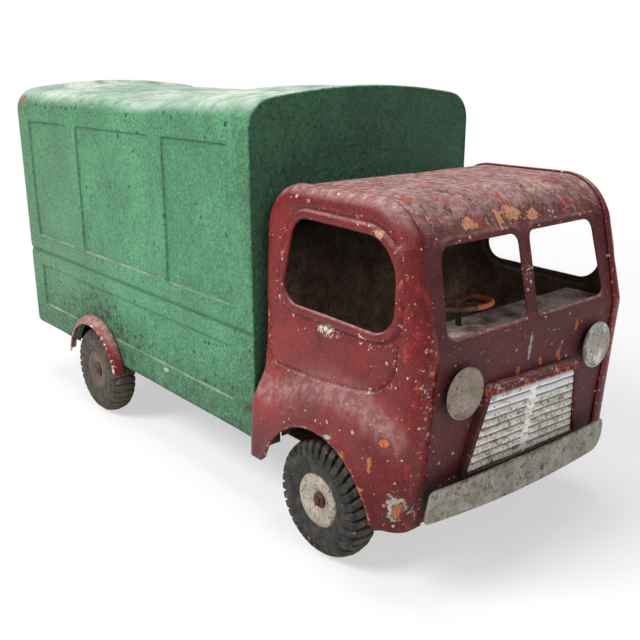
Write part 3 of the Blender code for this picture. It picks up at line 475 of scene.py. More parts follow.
# ---------------------------------------------------------------- finishes
def green_paint(name, top, deep, dust_and_highlight_share):
    """Thick sandy brush paint; dust with painted top light on top, sooty specks, painted shade and bare
    spots lower down.
    """
    f = Finish(name)
    f.colour = f.mix(f.cloud(0.35, 0.65, 0.060, 4), top, deep)
    f.coat(shade(deep, 0.65), f.cloud(0.45, 0.72, 0.022, 5, 0.65, seed=3.1), 0.45)
    faded = f.between(f.plus(f.y, f.times(f.noise(0.08, 3, seed=9), 0.06)), 0.04, 0.32)
    f.coat((0.085, 0.150, 0.078), faded, 0.50)
    # grime with painted shade: this mask darkens the grain, lays a near-black wash and adds pits where it is
    # high
    grime_and_shade = f.mask("grime_and_shade")
    grain = f.noise(0.0021, 3, 0.65, seed=21)
    f.coat(shade(deep, 0.30), f.between(f.plus(grain, f.times(grime_and_shade, -0.05)), 0.47, 0.37), 0.55)
    f.coat(shade(top, 1.7, 0.02), f.between(grain, 0.55, 0.67), 0.40)
    sooty = f.cloud(0.42, 0.70, 0.010, 5, 0.7, seed=7)
    f.coat((0.026, 0.040, 0.024), f.plus(f.times(sooty, 0.75), 0.22), grime_and_shade)
    pits = f.specks(0.0052, f.plus(0.06, f.times(grime_and_shade, 0.50)), 0.10, seed=2)
    f.coat((0.012, 0.016, 0.011), pits, 0.85)
    # dust with painted top light: surfaces that face up are made paler
    dust_and_highlight = f.times(f.between(f.up, 0.35, 0.99), dust_and_highlight_share)
    thin = f.between(f.plus(f.noise(0.040, 5, 0.62, seed=11), f.times(grain, 0.20)), 0.42, 0.74)
    f.coat(f.mix(thin, (0.66, 0.70, 0.63), (0.30, 0.42, 0.33)),
           dust_and_highlight, f.cloud(0.25, 0.62, 0.012, 5, 0.7, seed=13, start=0.35))
    bare = f.between(f.plus(f.noise(0.007, 5, 0.7, seed=17), f.times(f.mask("rust"), 0.42)), 0.74, 0.80)
    f.coat(f.mix(f.noise(0.004, 3, seed=19), (0.20, 0.045, 0.03), (0.36, 0.16, 0.09)), bare)
    f.coat((0.42, 0.50, 0.52), f.blob(*SCUFF, 0.8), 0.8)
    # painted shade with dirt: the groove mask darkens the panel edges and the belt
    f.coat((0.016, 0.030, 0.018), f.mask("groove"), 0.75)
    height = f.plus(f.times(grain, 0.80), f.times(f.noise(0.0075, 3, seed=23), 0.40), f.times(pits, -0.25),
                    f.times(bare, -0.15))
    rough = f.plus(0.42, f.times(dust_and_highlight, 0.35), f.times(grime_and_shade, 0.2), f.times(bare, 0.3))
    return f.done(rough, height, 0.0030, specular=0.40)


# Flow marks in the paint of the cab's roof: size, seed and tone
FLOW_MARKS = ((0.026, 31, (0.40, 0.040, 0.032)), (0.017, 35, (0.52, 0.22, 0.15)),
              (0.015, 39, (0.060, 0.028, 0.026)))


def maroon_paint(name, top, deep, shine, flecks):
    """Brown-red enamel over bright red, over cream primer, over rust; flecks are its large flaked spots."""
    f = Finish(name)
    f.colour = f.mix(f.cloud(0.35, 0.65, 0.050, 4), top, deep)
    f.coat(shade(deep, 0.55), f.cloud(0.46, 0.70, 0.008, 5, 0.65, seed=3), 0.55)
    grain = f.noise(0.0012, 3, 0.7, seed=21)
    f.coat((0.36, 0.085, 0.072), f.between(grain, 0.54, 0.68), 0.30)
    f.coat(shade(deep, 0.40), f.between(grain, 0.46, 0.34), 0.45)
    # painted shade: the colour darkens towards the bottom of the cab
    level = f.plus(f.z, f.times(f.noise(0.020, 3, seed=4), 0.02))
    f.coat(shade(deep, 0.40), f.between(level, 0.100, 0.055), 0.75)
    # dust with painted top light on surfaces that face up; the mask adds a painted highlight along the
    # fender's crest
    settled_dust_and_top_light = f.times(f.between(f.up, 0.30, 0.95), f.cloud(0.25, 0.60, 0.030, 5, 0.6, seed=5, start=0.5))
    dust_and_highlight = f.most(settled_dust_and_top_light, f.mask("dust_and_highlight"))
    thin = f.cloud(0.35, 0.62, 0.005, 5, 0.7, seed=6)
    f.coat(f.mix(thin, (0.60, 0.45, 0.43), (0.27, 0.155, 0.145)), dust_and_highlight, 0.62)
    streaks = f.noise(0.005, 6, 0.7, (0.8, 1.6, 2.2), seed=7)
    bright = f.between(f.plus(streaks, f.times(f.mask("red"), 0.20)), 0.70, 0.74)
    scarlet = f.mix(f.noise(0.006, 3, seed=9), (0.42, 0.022, 0.022), (0.25, 0.018, 0.018))
    f.coat(scarlet, bright, 0.80)
    for size, seed, tone in FLOW_MARKS:
        flow = f.noise(size, 4, 0.6, (0.8, 3.0, 1.0), seed=seed)
        contour = f.maths("ABSOLUTE", f.maths("SUBTRACT", flow, 0.5))
        broken = f.cloud(0.46, 0.58, 0.012, 3, 0.6, seed=seed + 2)
        f.coat(tone, f.between(contour, 0.015, 0.005), f.mask("threads"), broken)
    wear = f.mask("wear")
    ragged = f.plus(f.noise(0.0042, 6, 0.68, seed=11), f.times(wear, 0.30))
    flakes = f.between(ragged, 0.745, 0.760)
    spots = f.specks(0.0036, f.plus(0.020, f.times(wear, 0.30)), 0.06, seed=13)
    fine = f.specks(0.0019, f.plus(0.045, f.times(wear, 0.22)), 0.06, seed=15)
    f.coat(scarlet, f.between(ragged, 0.690, 0.710), 0.85)
    f.coat((0.036, 0.016, 0.015), f.between(ragged, 0.722, 0.735), 0.8)
    orange = f.between(f.plus(f.noise(0.009, 4, seed=17), f.times(f.mask("orange"), 0.25)), 0.52, 0.60)
    cream = f.mix(f.cloud(0.4, 0.6, 0.0025, 3, seed=18), (0.66, 0.54, 0.45), (0.42, 0.24, 0.18))
    primer = f.mix(orange, cream, (0.50, 0.15, 0.070))
    f.coat(primer, f.most(spots, fine), 0.85)
    f.coat(primer, flakes)
    bare = f.most(flakes, spots, fine)
    for centre, size, tone in flecks:
        flaked = f.blob(centre, size)
        f.coat((0.100, 0.035, 0.030), f.blob(centre, tuple(v + 0.8 * MM for v in size)))
        f.coat(f.mix(f.between(grain, 0.42, 0.60), shade(tone, 0.60), tone), flaked)
        bare = f.most(bare, flaked)
    grit = f.plus(f.noise(0.0016, 3, 0.7, seed=19), f.times(f.mask("white"), 0.42))
    granules = f.between(grit, 0.80, 0.86)
    f.coat(f.mix(f.noise(0.0015, 2, seed=20), (0.82, 0.76, 0.68), (0.50, 0.38, 0.30)), granules)
    # painted shade with dirt: the groove mask darkens the door line and the wheel arch's rim
    f.coat((0.022, 0.010, 0.010), f.mask("groove"), 0.60)
    height = f.plus(f.times(grain, 0.55), f.times(f.noise(0.0055, 3, seed=23), 0.6),
                    f.times(f.most(bare, granules), -0.40), f.times(bright, -0.12))
    rough = f.plus(0.48 - 0.30 * shine, f.times(f.noise(0.006, 3, seed=25), 0.12), f.times(dust_and_highlight, 0.25),
                   f.times(bare, 0.3))
    return f.done(rough, height, 0.0009, specular=0.16 + 0.08 * shine)


def cab_inside_finish(name, top, deep):
    """Thin dark paint, mostly dust and rust; dust with painted light on what faces up, and painted shade
    darker towards the roof.
    """
    f = Finish(name)
    f.colour = f.mix(f.cloud(0.35, 0.65, 0.020, 5, 0.65), top, deep)
    f.coat((0.012, 0.010, 0.009), f.cloud(0.52, 0.62, 0.0016, 3, 0.7, seed=3), 0.7)
    f.coat((0.12, 0.075, 0.040), f.cloud(0.50, 0.68, 0.006, 5, 0.7, seed=5), 0.7)
    # dust with painted light: the up-facing dust is made pale as if lit through the windscreen
    dust_and_highlight = f.times(f.between(f.up, 0.5, 0.98), f.cloud(0.30, 0.60, 0.014, 5, 0.7, seed=7))
    grain = f.cloud(0.35, 0.65, 0.0018, 3, 0.7, seed=8)
    f.coat(f.mix(grain, (0.42, 0.31, 0.28), (0.80, 0.68, 0.62)), dust_and_highlight, 0.80)
    marks = f.cloud(0.58, 0.64, 0.010, 4, 0.6, (2.6, 0.8, 1.0), seed=13)
    f.coat((0.012, 0.010, 0.010), marks, dust_and_highlight, 0.9)
    # painted shade: near-black towards the roof, under the cab's top
    f.coat((0.008, 0.006, 0.006), f.between(f.z, 0.158, 0.200))
    height = f.plus(f.noise(0.0022, 3, 0.6, seed=9), f.times(f.noise(0.009, 4, seed=11), 0.5))
    return f.done(f.cloud(0.3, 0.7, 0.01, 3, start=0.70, end=0.95), height, 0.0010, specular=0.25)


def pitted_metal(name, top, deep, spots, shine=0.30):
    """Dull bright coating, pitted and speckled with brown."""
    f = Finish(name)
    f.colour = f.mix(f.cloud(0.35, 0.65, 0.012, 4, 0.6), top, deep)
    bright = f.between(f.plus(f.noise(0.010, 4, 0.65, seed=13), f.times(f.mask("white"), 0.40)), 0.66, 0.76)
    f.coat(shade(top, 0.7, 0.40), bright)
    speckle = f.cloud(0.50, 0.62, 0.0017, 3, 0.7, seed=15)
    f.coat(shade(BROWN, 1.5), speckle, f.between(bright, 0.0, 1.0, 1.0, 0.25), 0.50)
    brown = f.between(f.plus(f.noise(0.0050, 6, 0.72, seed=3), f.times(f.mask("wear"), 0.22)), 0.57, 0.68)
    f.coat(BROWN, brown, 0.75)
    pits = f.specks(0.0020, spots, 0.12, seed=5)
    f.coat(shade(BROWN, 0.35), pits, 0.85)
    # painted shade with dirt: the groove mask darkens the hollows between the grille's ribs, the bumper's
    # back edge and the lamps' backs
    line = f.mask("groove")
    f.coat((0.050, 0.040, 0.024), line, 0.85)
    shiny = f.times(f.between(f.plus(brown, pits, line), 0.0, 0.8, 1.0, 0.1), shine)
    height = f.plus(f.times(f.noise(0.0014, 3, 0.65, seed=7), 0.6), f.times(pits, -0.5),
                    f.times(f.noise(0.007, 3, seed=9), 0.6), f.times(brown, -0.2))
    return f.done(f.plus(0.42, f.times(brown, 0.35), f.times(pits, 0.2)), height, 0.0008, shiny)


def rusty_finish(name, top, deep, pale, touch=None):
    """Steel under an even coat of rust; touch is the colour of a patch masked by the piece."""
    f = Finish(name)
    f.colour = f.mix(f.cloud(0.38, 0.62, 0.007, 6, 0.7), top, deep)
    f.coat(pale, f.cloud(0.56, 0.70, 0.0022, 4, 0.7, seed=3), 0.8)
    if touch:
        patch = f.plus(f.noise(0.0040, 5, 0.7, seed=4), f.times(f.mask("orange"), 0.30))
        f.coat(touch, f.between(patch, 0.62, 0.70))
    f.coat((0.012, 0.010, 0.009), f.specks(0.0022, 0.18, 0.12, seed=5))
    height = f.plus(f.noise(0.0012, 4, 0.7, seed=7), f.times(f.noise(0.005, 3, seed=9), 0.6))
    metal = f.cloud(0.4, 0.7, 0.009, 3, seed=11, start=0.35, end=0.05)
    return f.done(f.cloud(0.3, 0.7, 0.004, 3, start=0.62, end=0.92), height, 0.0007, metal, specular=0.30)


def rubber(name, clean, dusty, share):
    """Old rubber: matt, cracked, with dust on what stands out."""
    f = Finish(name)
    f.colour = f.mix(f.cloud(0.35, 0.70, 0.010, 5, 0.65), clean, shade(clean, 1.6))
    proud = f.plus(f.times(f.mask("proud"), 0.30), share - 0.3)
    f.coat(dusty, f.between(f.plus(f.noise(0.006, 6, 0.7, seed=3), proud), 0.42, 0.72), 0.85)
    f.coat(shade(dusty, 2.6), f.specks(0.0032, 0.10, 0.08, seed=5))
    height = f.plus(f.times(f.noise(0.0012, 3, 0.7, seed=7), 0.7),
                    f.times(f.noise(0.004, 4, 0.7, seed=9), 0.6))
    return f.done(f.cloud(0.3, 0.7, 0.006, 3, start=0.60, end=0.88), height, 0.00035, specular=0.35)


ORANGE, PEACH = (0.56, 0.150, 0.055), (0.64, 0.30, 0.17)
ASH, BROWN = (0.44, 0.40, 0.33), (0.115, 0.070, 0.042)
# A pale scuff low on the box's right-hand side: its centre and half sizes
SCUFF = ((-VAN_HALF, 0.0050, 0.0700), (0.02, 0.0040, 0.0016))


def front_flecks(y, *rows):
    """Large flaked spots on the front, at (x, z) with half sizes (x, z)."""
    return [((x, y, z), (width, 0.02, height), tone) for x, z, width, height, tone in rows]


def side_flecks(*rows):
    """Large flaked spots on the right-hand side, at (y, z) with half sizes (y, z)."""
    return [((-VAN_HALF, y, z), (0.02, width, height), tone) for y, z, width, height, tone in rows]


HEADER_FLECKS = front_flecks(
    -0.2370, (-0.0435, 0.2085, 0.0068, 0.0032, PEACH), (-0.0177, 0.2085, 0.0030, 0.0052, PEACH),
    (-0.0050, 0.2105, 0.0075, 0.0040, PEACH), (0.0110, 0.2080, 0.0060, 0.0030, PEACH))
PANEL_FLECKS = front_flecks(
    -0.2500, (-0.0093, 0.1195, 0.0019, 0.0034, ORANGE), (0.0122, 0.1215, 0.0019, 0.0026, ORANGE),
    (0.0307, 0.1215, 0.0026, 0.0034, ORANGE), (0.0457, 0.1370, 0.0017, 0.0042, ORANGE),
    (-0.0010, 0.1335, 0.0016, 0.0078, ASH))
SIDE_FLECKS = side_flecks(
    (-0.2405, 0.0605, 0.0042, 0.0075, ASH), (-0.2410, 0.0580, 0.0018, 0.0035, ORANGE),
    (-0.2198, 0.0662, 0.0028, 0.0022, ORANGE), (-0.2049, 0.0800, 0.0030, 0.0028, ORANGE),
    (-0.2260, 0.0825, 0.0014, 0.0052, ORANGE), (-0.2330, 0.0963, 0.0022, 0.0022, ORANGE),
    (-0.2535, 0.1291, 0.0022, 0.0045, ASH), (-0.2520, 0.1063, 0.0020, 0.0045, PEACH),
    (-0.2179, 0.2075, 0.0042, 0.0022, PEACH), (-0.1930, 0.0880, 0.0034, 0.0011, ASH))
GREEN = green_paint("green_paint", (0.078, 0.300, 0.142), (0.058, 0.225, 0.104), 0.95)
# a darker copy of the green paint: painted shade for the front wall in the cab's shadow, the floor and the
# rear frame
SHADED_GREEN = green_paint("dark_green_paint", (0.052, 0.170, 0.092), (0.036, 0.120, 0.064), 0.5)
MAROON = maroon_paint("maroon_paint", (0.200, 0.012, 0.012), (0.125, 0.010, 0.011), 1.0, SIDE_FLECKS)
MAUVE = maroon_paint("mauve_maroon_paint", (0.125, 0.032, 0.034), (0.090, 0.026, 0.030), 0.2,
                     HEADER_FLECKS + PANEL_FLECKS)
INSIDE = cab_inside_finish("cab_inside", (0.260, 0.165, 0.115), (0.110, 0.070, 0.052))
BUMPER = pitted_metal("bumper_coating", (0.37, 0.350, 0.295), (0.22, 0.205, 0.150), 0.26, 0.22)
GRILLE = pitted_metal("grille_coating", (0.92, 0.90, 0.84), (0.80, 0.76, 0.66), 0.22, 0.04)
LAMP = {"right": pitted_metal("near_lamp_coating", (0.33, 0.265, 0.215), (0.22, 0.170, 0.130), 0.30, 0.15),
        "left": pitted_metal("far_lamp_coating", (0.50, 0.49, 0.45), (0.36, 0.345, 0.30), 0.20)}
# the rear hubs get a far darker copy of the hub metal: painted shade under the mudguards
HUB = {"front": pitted_metal("front_hub_metal", (0.45, 0.41, 0.34), (0.31, 0.27, 0.21), 0.34, 0.40),
       "rear": pitted_metal("shaded_rear_hub_metal", (0.095, 0.074, 0.056), (0.060, 0.046, 0.035), 0.34, 0.25)}
RUST = rusty_finish("rusty_steel", (0.130, 0.055, 0.030), (0.060, 0.030, 0.020), (0.26, 0.11, 0.055))
RIM = rusty_finish("steering_rust", (0.150, 0.080, 0.045), (0.080, 0.042, 0.026), (0.42, 0.20, 0.09), ORANGE)
CHASSIS = rusty_finish("chassis_steel", (0.045, 0.030, 0.024), (0.020, 0.015, 0.013), (0.10, 0.050, 0.028))
TYRE = {"front": rubber("front_tyre_rubber", (0.012, 0.012, 0.012), (0.070, 0.055, 0.042), 0.30),
        "rear": rubber("rear_tyre_rubber", (0.016, 0.014, 0.013), (0.080, 0.062, 0.046), 0.42)}


# ---------------------------------------------------------------- box body
SHOULDER_Z = VAN_CROWN_Z - 0.009
VAN_CORNER_RADIUS = 0.020
WHEEL_CUT_RADIUS = 0.043
PANEL_DEPTH, PANEL_EDGE, PANEL_RADIUS = 1.4 * MM, 1.5 * MM, 2.5 * MM
UPPER_PANELS = ((0.0249, 0.1055), (0.1243, 0.2434), (0.2613, 0.3394))    # back from the box's front
UPPER_Z, LOWER_Z = (0.1409, 0.2441), (0.0740, 0.1120)
SIDE_PANELS = [((front, UPPER_Z[0]), (rear, UPPER_Z[1])) for front, rear in UPPER_PANELS]
SIDE_PANELS.append(((UPPER_PANELS[0][0], LOWER_Z[0]), (UPPER_PANELS[-1][1], LOWER_Z[1])))
DOOR_PANELS = [((0.016, low), (0.086, high)) for low, high in (UPPER_Z, LOWER_Z)]
BELT_Z = 0.1254
DENT_Y, DENT_DEPTH = 0.040, 0.0085     # the crown has sunk across the whole roof


def stations(low, high, spacing, marks=()):
    """Places from low to high, closer together at each mark."""
    count = round((high - low) / spacing)
    close = [m + step * MM for m in marks for step in (-1.2, -0.6, 0.0, 0.6, 1.2)]
    even = [low + (high - low) * i / count for i in range(1, count)]
    apart = [p for p in even if all(abs(p - c) > 0.5 * MM for c in close)]
    return sorted([low, high] + apart + [c for c in close if low < c < high])


def panel_distance(u, v, panel):
    """Distance from a point to the rounded rectangle of a pressed panel, negative inside."""
    low, high = panel
    du = abs(u - (low[0] + high[0]) / 2) - (high[0] - low[0]) / 2 + PANEL_RADIUS
    dv = abs(v - (low[1] + high[1]) / 2) - (high[1] - low[1]) / 2 + PANEL_RADIUS
    return math.hypot(max(du, 0), max(dv, 0)) + min(max(du, dv), 0) - PANEL_RADIUS


def pressed(u, v, panels):
    """How far panels press a face in at (u, v)."""
    return sum(PANEL_DEPTH * smooth_step(-panel_distance(u, v, panel), -PANEL_EDGE / 2, PANEL_EDGE / 2)
               for panel in panels)


def van_section():
    """Cross-section (x, z) up the right-hand side, over the crown and down the left."""
    rise = VAN_CROWN_Z - SHOULDER_Z
    crown_radius = (VAN_HALF ** 2 + rise ** 2) / (2 * rise)
    reach = math.degrees(math.asin(VAN_HALF / crown_radius))
    crown = arc((0, VAN_CROWN_Z - crown_radius), crown_radius, 90 + reach, 90 - reach, 44)
    marks = (*UPPER_Z, *LOWER_Z, BELT_Z - 2 * MM, BELT_Z + 2 * MM)
    heights = stations(VAN_BOTTOM_Z, SHOULDER_Z - 0.022, 3.6 * MM, marks)
    first, last = ((*crown[i], VAN_CORNER_RADIUS, 9) for i in (0, -1))
    return rounded([(-VAN_HALF, z) for z in heights] + [first] + crown[5:-5] + [last]
                   + [(VAN_HALF, z) for z in reversed(heights)], closed=False)


def side_relief(y, z):
    """How far the box's side is pressed in at (y, z)."""
    return pressed(y - VAN_FRONT_Y, z, SIDE_PANELS) + 1.3 * MM * bell(z, BELT_Z, 2.0 * MM)


def groove_mask(y, z):
    """Painted shade with dirt round the edges of the panels and in the belt's groove."""
    line = max(bell(panel_distance(y - VAN_FRONT_Y, z, panel), 0.0, 0.9 * MM) for panel in SIDE_PANELS)
    return 0.55 * line + 0.8 * bell(z, BELT_Z, 1.3 * MM)


def van_point(x, y, z, normal):
    """A point of the box's sheet with its pressing, its dent and its unevenness."""
    ends = min(y - VAN_FRONT_Y, VAN_REAR_Y - y)
    inward = side_relief(y, z) if abs(normal.x) > 0.99 else 0.0
    rim = 1.6 * MM
    if ends < rim:
        inward += rim - math.sqrt(max(rim ** 2 - (rim - ends) ** 2, 0))
    inward += smooth_step(ends, 0.0, 0.03) * (0.6 * MM + 0.55 * MM * wander((x, y, z), 0.060, 2.0))
    point = Vector((x, y, z)) - normal * inward
    if normal.z > 0:
        sunk = DENT_DEPTH * bell(y, DENT_Y, 0.095 if y > DENT_Y else 0.055)
        sunk += 3.5 * MM * smooth_step(y, 0.08, 0.20)
        across = (1 - 0.55 * smooth_step(abs(x), 0.050, 0.095)) * normal.z
        crease = bell(y, -0.006, 0.030) * bell(x + 0.086 + (y + 0.006) * 0.08, 0.0, 5.5 * MM)
        point.z -= sunk * across * smooth_step(ends, 0.0, 0.012) + 2.4 * MM * crease
    corner = 6 * MM
    past = y - (VAN_REAR_Y - corner)
    if past > 0:
        point.z = max(point.z, VAN_BOTTOM_Z + corner - math.sqrt(max(corner ** 2 - past ** 2, 0)))
    return point


def van_shell():
    """The box's sides and roof, cut out round the rear wheels."""
    section = van_section()
    normals = [-n for n in right_normals(section)]
    marks = [VAN_FRONT_Y + y for pair in UPPER_PANELS for y in pair]
    rims = (0.2 * MM, 0.6 * MM, 1.1 * MM)
    lengths = sorted({*stations(VAN_FRONT_Y, VAN_REAR_Y, 3.4 * MM, marks),
                      *(VAN_FRONT_Y + r for r in rims), *(VAN_REAR_Y - r for r in rims)})
    centre = AXLE["rear"]
    bm = bmesh.new()
    rows, cut = [], set()
    for y in lengths:
        row = []
        for (x, z), normal in zip(section, normals):
            point = van_point(x, y, z, Vector((normal.x, 0, normal.y)))
            spread = WHEEL_CUT_RADIUS / max(math.hypot(y - centre.y, z - centre.z), 1e-6)
            if spread > 1:
                point.y = centre.y + (y - centre.y) * spread
                point.z = centre.z + (z - centre.z) * spread
            row.append(bm.verts.new(point))
            if spread > 1:
                cut.add(row[-1])
        rows.append(row)
    for near, far in zip(rows, rows[1:]):
        for i in range(len(near) - 1):
            corners = (near[i], near[i + 1], far[i + 1], far[i])
            if not cut.issuperset(corners):
                bm.faces.new(corners)
    bmesh.ops.delete(bm, geom=[v for v in bm.verts if not v.link_faces], context="VERTS")
    face_away_from(bm, (0, 0.07, 0.15))
    shell = piece("box_sides_and_roof", bm, "van", GREEN, ["van_sides_and_roof"], 35, SHEET)
    # painted shade with grime: darker low down, round the rear wheel, beside the cab and in a band under the
    # roof's edge
    tint(shell, "grime_and_shade", lambda p: 0.85 * smooth_step(p.z, 0.115, 0.055)
         + 0.75 * smooth_step(off_axle(p, centre), 0.095, 0.050)
         + 0.35 * smooth_step(p.y, VAN_FRONT_Y + 0.035, VAN_FRONT_Y) + 0.35 * bell(p.z, 0.262, 0.010))
    tint(shell, "groove", lambda p: groove_mask(p.y, p.z) * (abs(p.x) > VAN_HALF - 4 * MM))
    tint(shell, "rust", lambda p: bell(p.y, 0.243, 0.005) * bell(p.z, 0.262, 0.006)
         + 0.45 * smooth_step(p.z, 0.058, 0.054) + 0.3 * smooth_step(p.y, VAN_FRONT_Y + 3 * MM, VAN_FRONT_Y))


def mudguard(label, side):
    """Half-round hood with a rolled outer lip."""
    low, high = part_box(f"rear_mudguard_{label}")
    out = high.x - low.x
    start = min(abs(low.x), abs(high.x))
    centre = AXLE["rear"]
    crown = high.z - centre.z
    foot = math.asin((low.z - centre.z) / crown)
    drops = in_mm((0.0, 0.0), (0.0, 1.2), (0.3, 2.4), (0.9, 4.0), (2.1, 5.8), (3.8, 7.0), (5.4, 7.7))
    drops += [(6.4 * MM, out - 0.6 * MM), (7.2 * MM, out - 1.2 * MM)]
    rows = []
    count = 72
    for i in range(count + 1):
        angle = foot + (math.pi - 2 * foot) * i / count
        row = []
        for drop, stand in drops:
            uneven = 0.5 + 0.5 * wander((angle * 0.05, stand, side), 0.012, 4)
            radius = crown - drop - 0.45 * MM * uneven
            row.append((side * (start + stand), centre.y - radius * math.cos(angle),
                        centre.z + radius * math.sin(angle)))
        rows.append(row)
    bm = bmesh.new()
    grid(bm, rows)
    face_away_from(bm, (side * (start - 0.02), centre.y, centre.z))
    guard = piece(f"mudguard_{label}", bm, "van", MAROON, [f"rear_mudguard_{label}"], 50,
                  SHEET)
    tint(guard, "wear", lambda p: 0.15 + 0.65 * smooth_step(abs(p.x), start + 5.5 * MM, start + 8 * MM)
         + 0.40 * smooth_step(p.y, centre.y + 0.030, centre.y + 0.046))
    tint(guard, "red", lambda p: 0.5 * smooth_step(abs(p.x), start + 3.5 * MM, start + 7 * MM))
    # dust with painted top light: paler over the hood's crown and towards its rear
    tint(guard, "dust_and_highlight", lambda p: 0.9 * smooth_step(p.z, crown * 0.55 + centre.z, crown + centre.z)
         + 0.7 * smooth_step(p.y, centre.y + 0.020, centre.y + 0.046))
    tint(guard, "white", lambda p: 0.70 * smooth_step(p.y, centre.y + 0.036, centre.y + 0.047)
         * smooth_step(p.z, centre.z + 0.030, centre.z + 0.010))


def leaf_outline(label, side):
    """A rear door's edge (x, z), read from the door's own box."""
    low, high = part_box(f"rear_door_{label}")
    seam = min(abs(low.x), abs(high.x))
    inset = SHEET + 1.6 * MM
    half = VAN_HALF - inset
    top = sorted((abs(x), z - inset) for x, z in van_section()
                 if x * side > seam and abs(x) < VAN_HALF - 8 * MM and z > SHOULDER_Z - 0.01)
    points = [(seam, low.z), (seam, top[0][1])] + top + [(half, SHOULDER_Z - 0.014), (half, low.z)]
    return [(side * x, z) for x, z in points]


def rear_door(label, side):
    """A door leaf with two pressed panels and its rolled hinge loops."""
    body = f"door_{label}"
    face_y = VAN_REAR_Y + 0.7 * MM

    def place(x, z):
        uneven = 1 + wander((x, z, 0), 0.05, 6)
        return x, face_y - 0.2 * MM * uneven - 0.35 * pressed(abs(x), z, DOOR_PANELS), z

    points = []
    for (left, bottom), (right, top) in DOOR_PANELS:
        for step in (-0.8 * MM, 0.0, 0.8 * MM):
            a, b, c, d = left - step, bottom - step, right + step, top + step
            loop = rounded([(u, v, PANEL_RADIUS, 3) for u, v in ((a, b), (c, b), (c, d), (a, d))])
            points += [(side * x, z) for x, z in resample(loop, 3 * MM, closed=True)]
    outline = resample(leaf_outline(label, side), 4 * MM, closed=True)
    bm = bmesh.new()
    stretch(bm, flat_fill(outline, [], points, 4.5 * MM), place)
    face_away_from(bm, (side * 0.05, 0, 0.15))
    leaf = piece(f"door_leaf_{label}", bm, body, GREEN, [f"rear_door_{label}"], 35, 0.9 * MM)
    # painted shade with grime: darker low down and along the seam between the two doors
    tint(leaf, "grime_and_shade", lambda p: 0.9 * smooth_step(p.z, 0.110, 0.055)
         + 0.3 * smooth_step(abs(p.x), 0.02, 0.0))
    tint(leaf, "rust", lambda p: 0.5 * smooth_step(p.z, 0.062, 0.056))
    low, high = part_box(f"door_hinge_pin_{label}")
    wire, roll = 0.9 * MM, 1.75 * MM
    hinge_x, hinge_y = max(abs(low.x), abs(high.x)) - wire, high.y - wire
    path = [(0.0888, VAN_REAR_Y + 1.0 * MM), (0.0925, VAN_REAR_Y + 0.9 * MM)]
    path += arc((hinge_x, hinge_y), roll, -110, 175, 19)
    for number, z in enumerate((0.082, 0.228)):
        bm = bmesh.new()
        grid(bm, [[(side * x, y, z + step * MM) for x, y in path] for step in (-5.6, -2.8, 0, 2.8, 5.6)])
        bmesh.ops.recalc_face_normals(bm, faces=bm.faces)
        strap = piece(f"hinge_loop_{label}_{number}", bm, body, GREEN, [], 50, 0.6 * MM,
                      offset=0)
        tint(strap, "grime_and_shade", lambda p: 0.6)


# ---------------------------------------------------------------- cab
CAB_REAR_Y = VAN_FRONT_Y - 0.0070
CAB_LUG_Y, CAB_LUG_Z = VAN_FRONT_Y - 0.0045, 0.0490
CAB_NOSE_Y = VAN_FRONT_Y - 0.1425
CAB_NOSE_Z = 0.1460
CAB_FRONT_BOTTOM_Y = VAN_FRONT_Y - 0.1338
CAB_HEADER_Y = VAN_FRONT_Y - 0.1240
CAB_CENTRE = (0, (CAB_NOSE_Y + CAB_REAR_Y) / 2, 0.13)
CAB_HALF = 0.097
FLANGE_X = abs(CAB_LOW.x)
ARCH = Vector((AXLE["front"].y - 3 * MM, 0.0385))
ARCH_RADIUS = 0.048
INSET = SHEET + 0.25 * MM         # the front sheet is tucked under the side flanges
WINDOW_FRONT, WINDOW_REAR = VAN_FRONT_Y - 0.1215, VAN_FRONT_Y - 0.0270
SIDE_WINDOW = resample(rounded([(WINDOW_FRONT, 0.1535, 0.015, 10), (WINDOW_REAR, 0.1555, 0.012, 8),
                                (WINDOW_REAR - 0.0110, 0.2070, 0.013, 8),
                                (WINDOW_FRONT + 0.0010, 0.2050, 0.023, 12)]), 2.2 * MM, closed=True)
# Pressed line of the door: round the window's bead, then down and forward above the wheel
DOOR_LINE = resample(rounded([(VAN_FRONT_Y - back, *corner) for back, *corner in (
    (0.0130, 0.2100), (0.0150, 0.1132, 0.010, 8), (0.0420, 0.1136), (0.0954, 0.1181),
    (0.1230, 0.1225, 0.024, 12), (0.1270, 0.2000))], closed=False), 2.5 * MM)
DOOR_LINE_TOP = 0.150             # above it the line runs in the window's bead
WINDSCREEN_Z = (0.1525, 0.1998)
WINDSCREEN = ((0.0050, WINDSCREEN_Z[0], 0.003, 5), (0.0735, WINDSCREEN_Z[0], 0.005, 6),
              (0.0700, WINDSCREEN_Z[1], 0.008, 8), (0.0050, WINDSCREEN_Z[1], 0.006, 7))


def cab_outline():
    """Side view of the cab (y, z) from the front bottom over the roof to the rear bottom."""
    return rounded([(CAB_FRONT_BOTTOM_Y, CAB_BOTTOM_Z),
                    ((CAB_FRONT_BOTTOM_Y + CAB_NOSE_Y) / 2, (CAB_BOTTOM_Z + CAB_NOSE_Z) / 2),
                    (CAB_NOSE_Y, CAB_NOSE_Z, 0.012, 6), (CAB_HEADER_Y, CAB_ROOF_Z, 0.034, 18),
                    ((CAB_HEADER_Y + CAB_REAR_Y) / 2, CAB_ROOF_Z), (CAB_REAR_Y, CAB_ROOF_Z, 0.028, 16),
                    ((CAB_REAR_Y + CAB_LUG_Y) / 2, 0.120), (CAB_LUG_Y, CAB_LUG_Z)], closed=False)


def crest_z(y):
    """Height of the fender's crest along the cab."""
    return 0.113 - 0.016 * smooth_step(abs(y - VAN_FRONT_Y + 0.082), 0.010, 0.062)


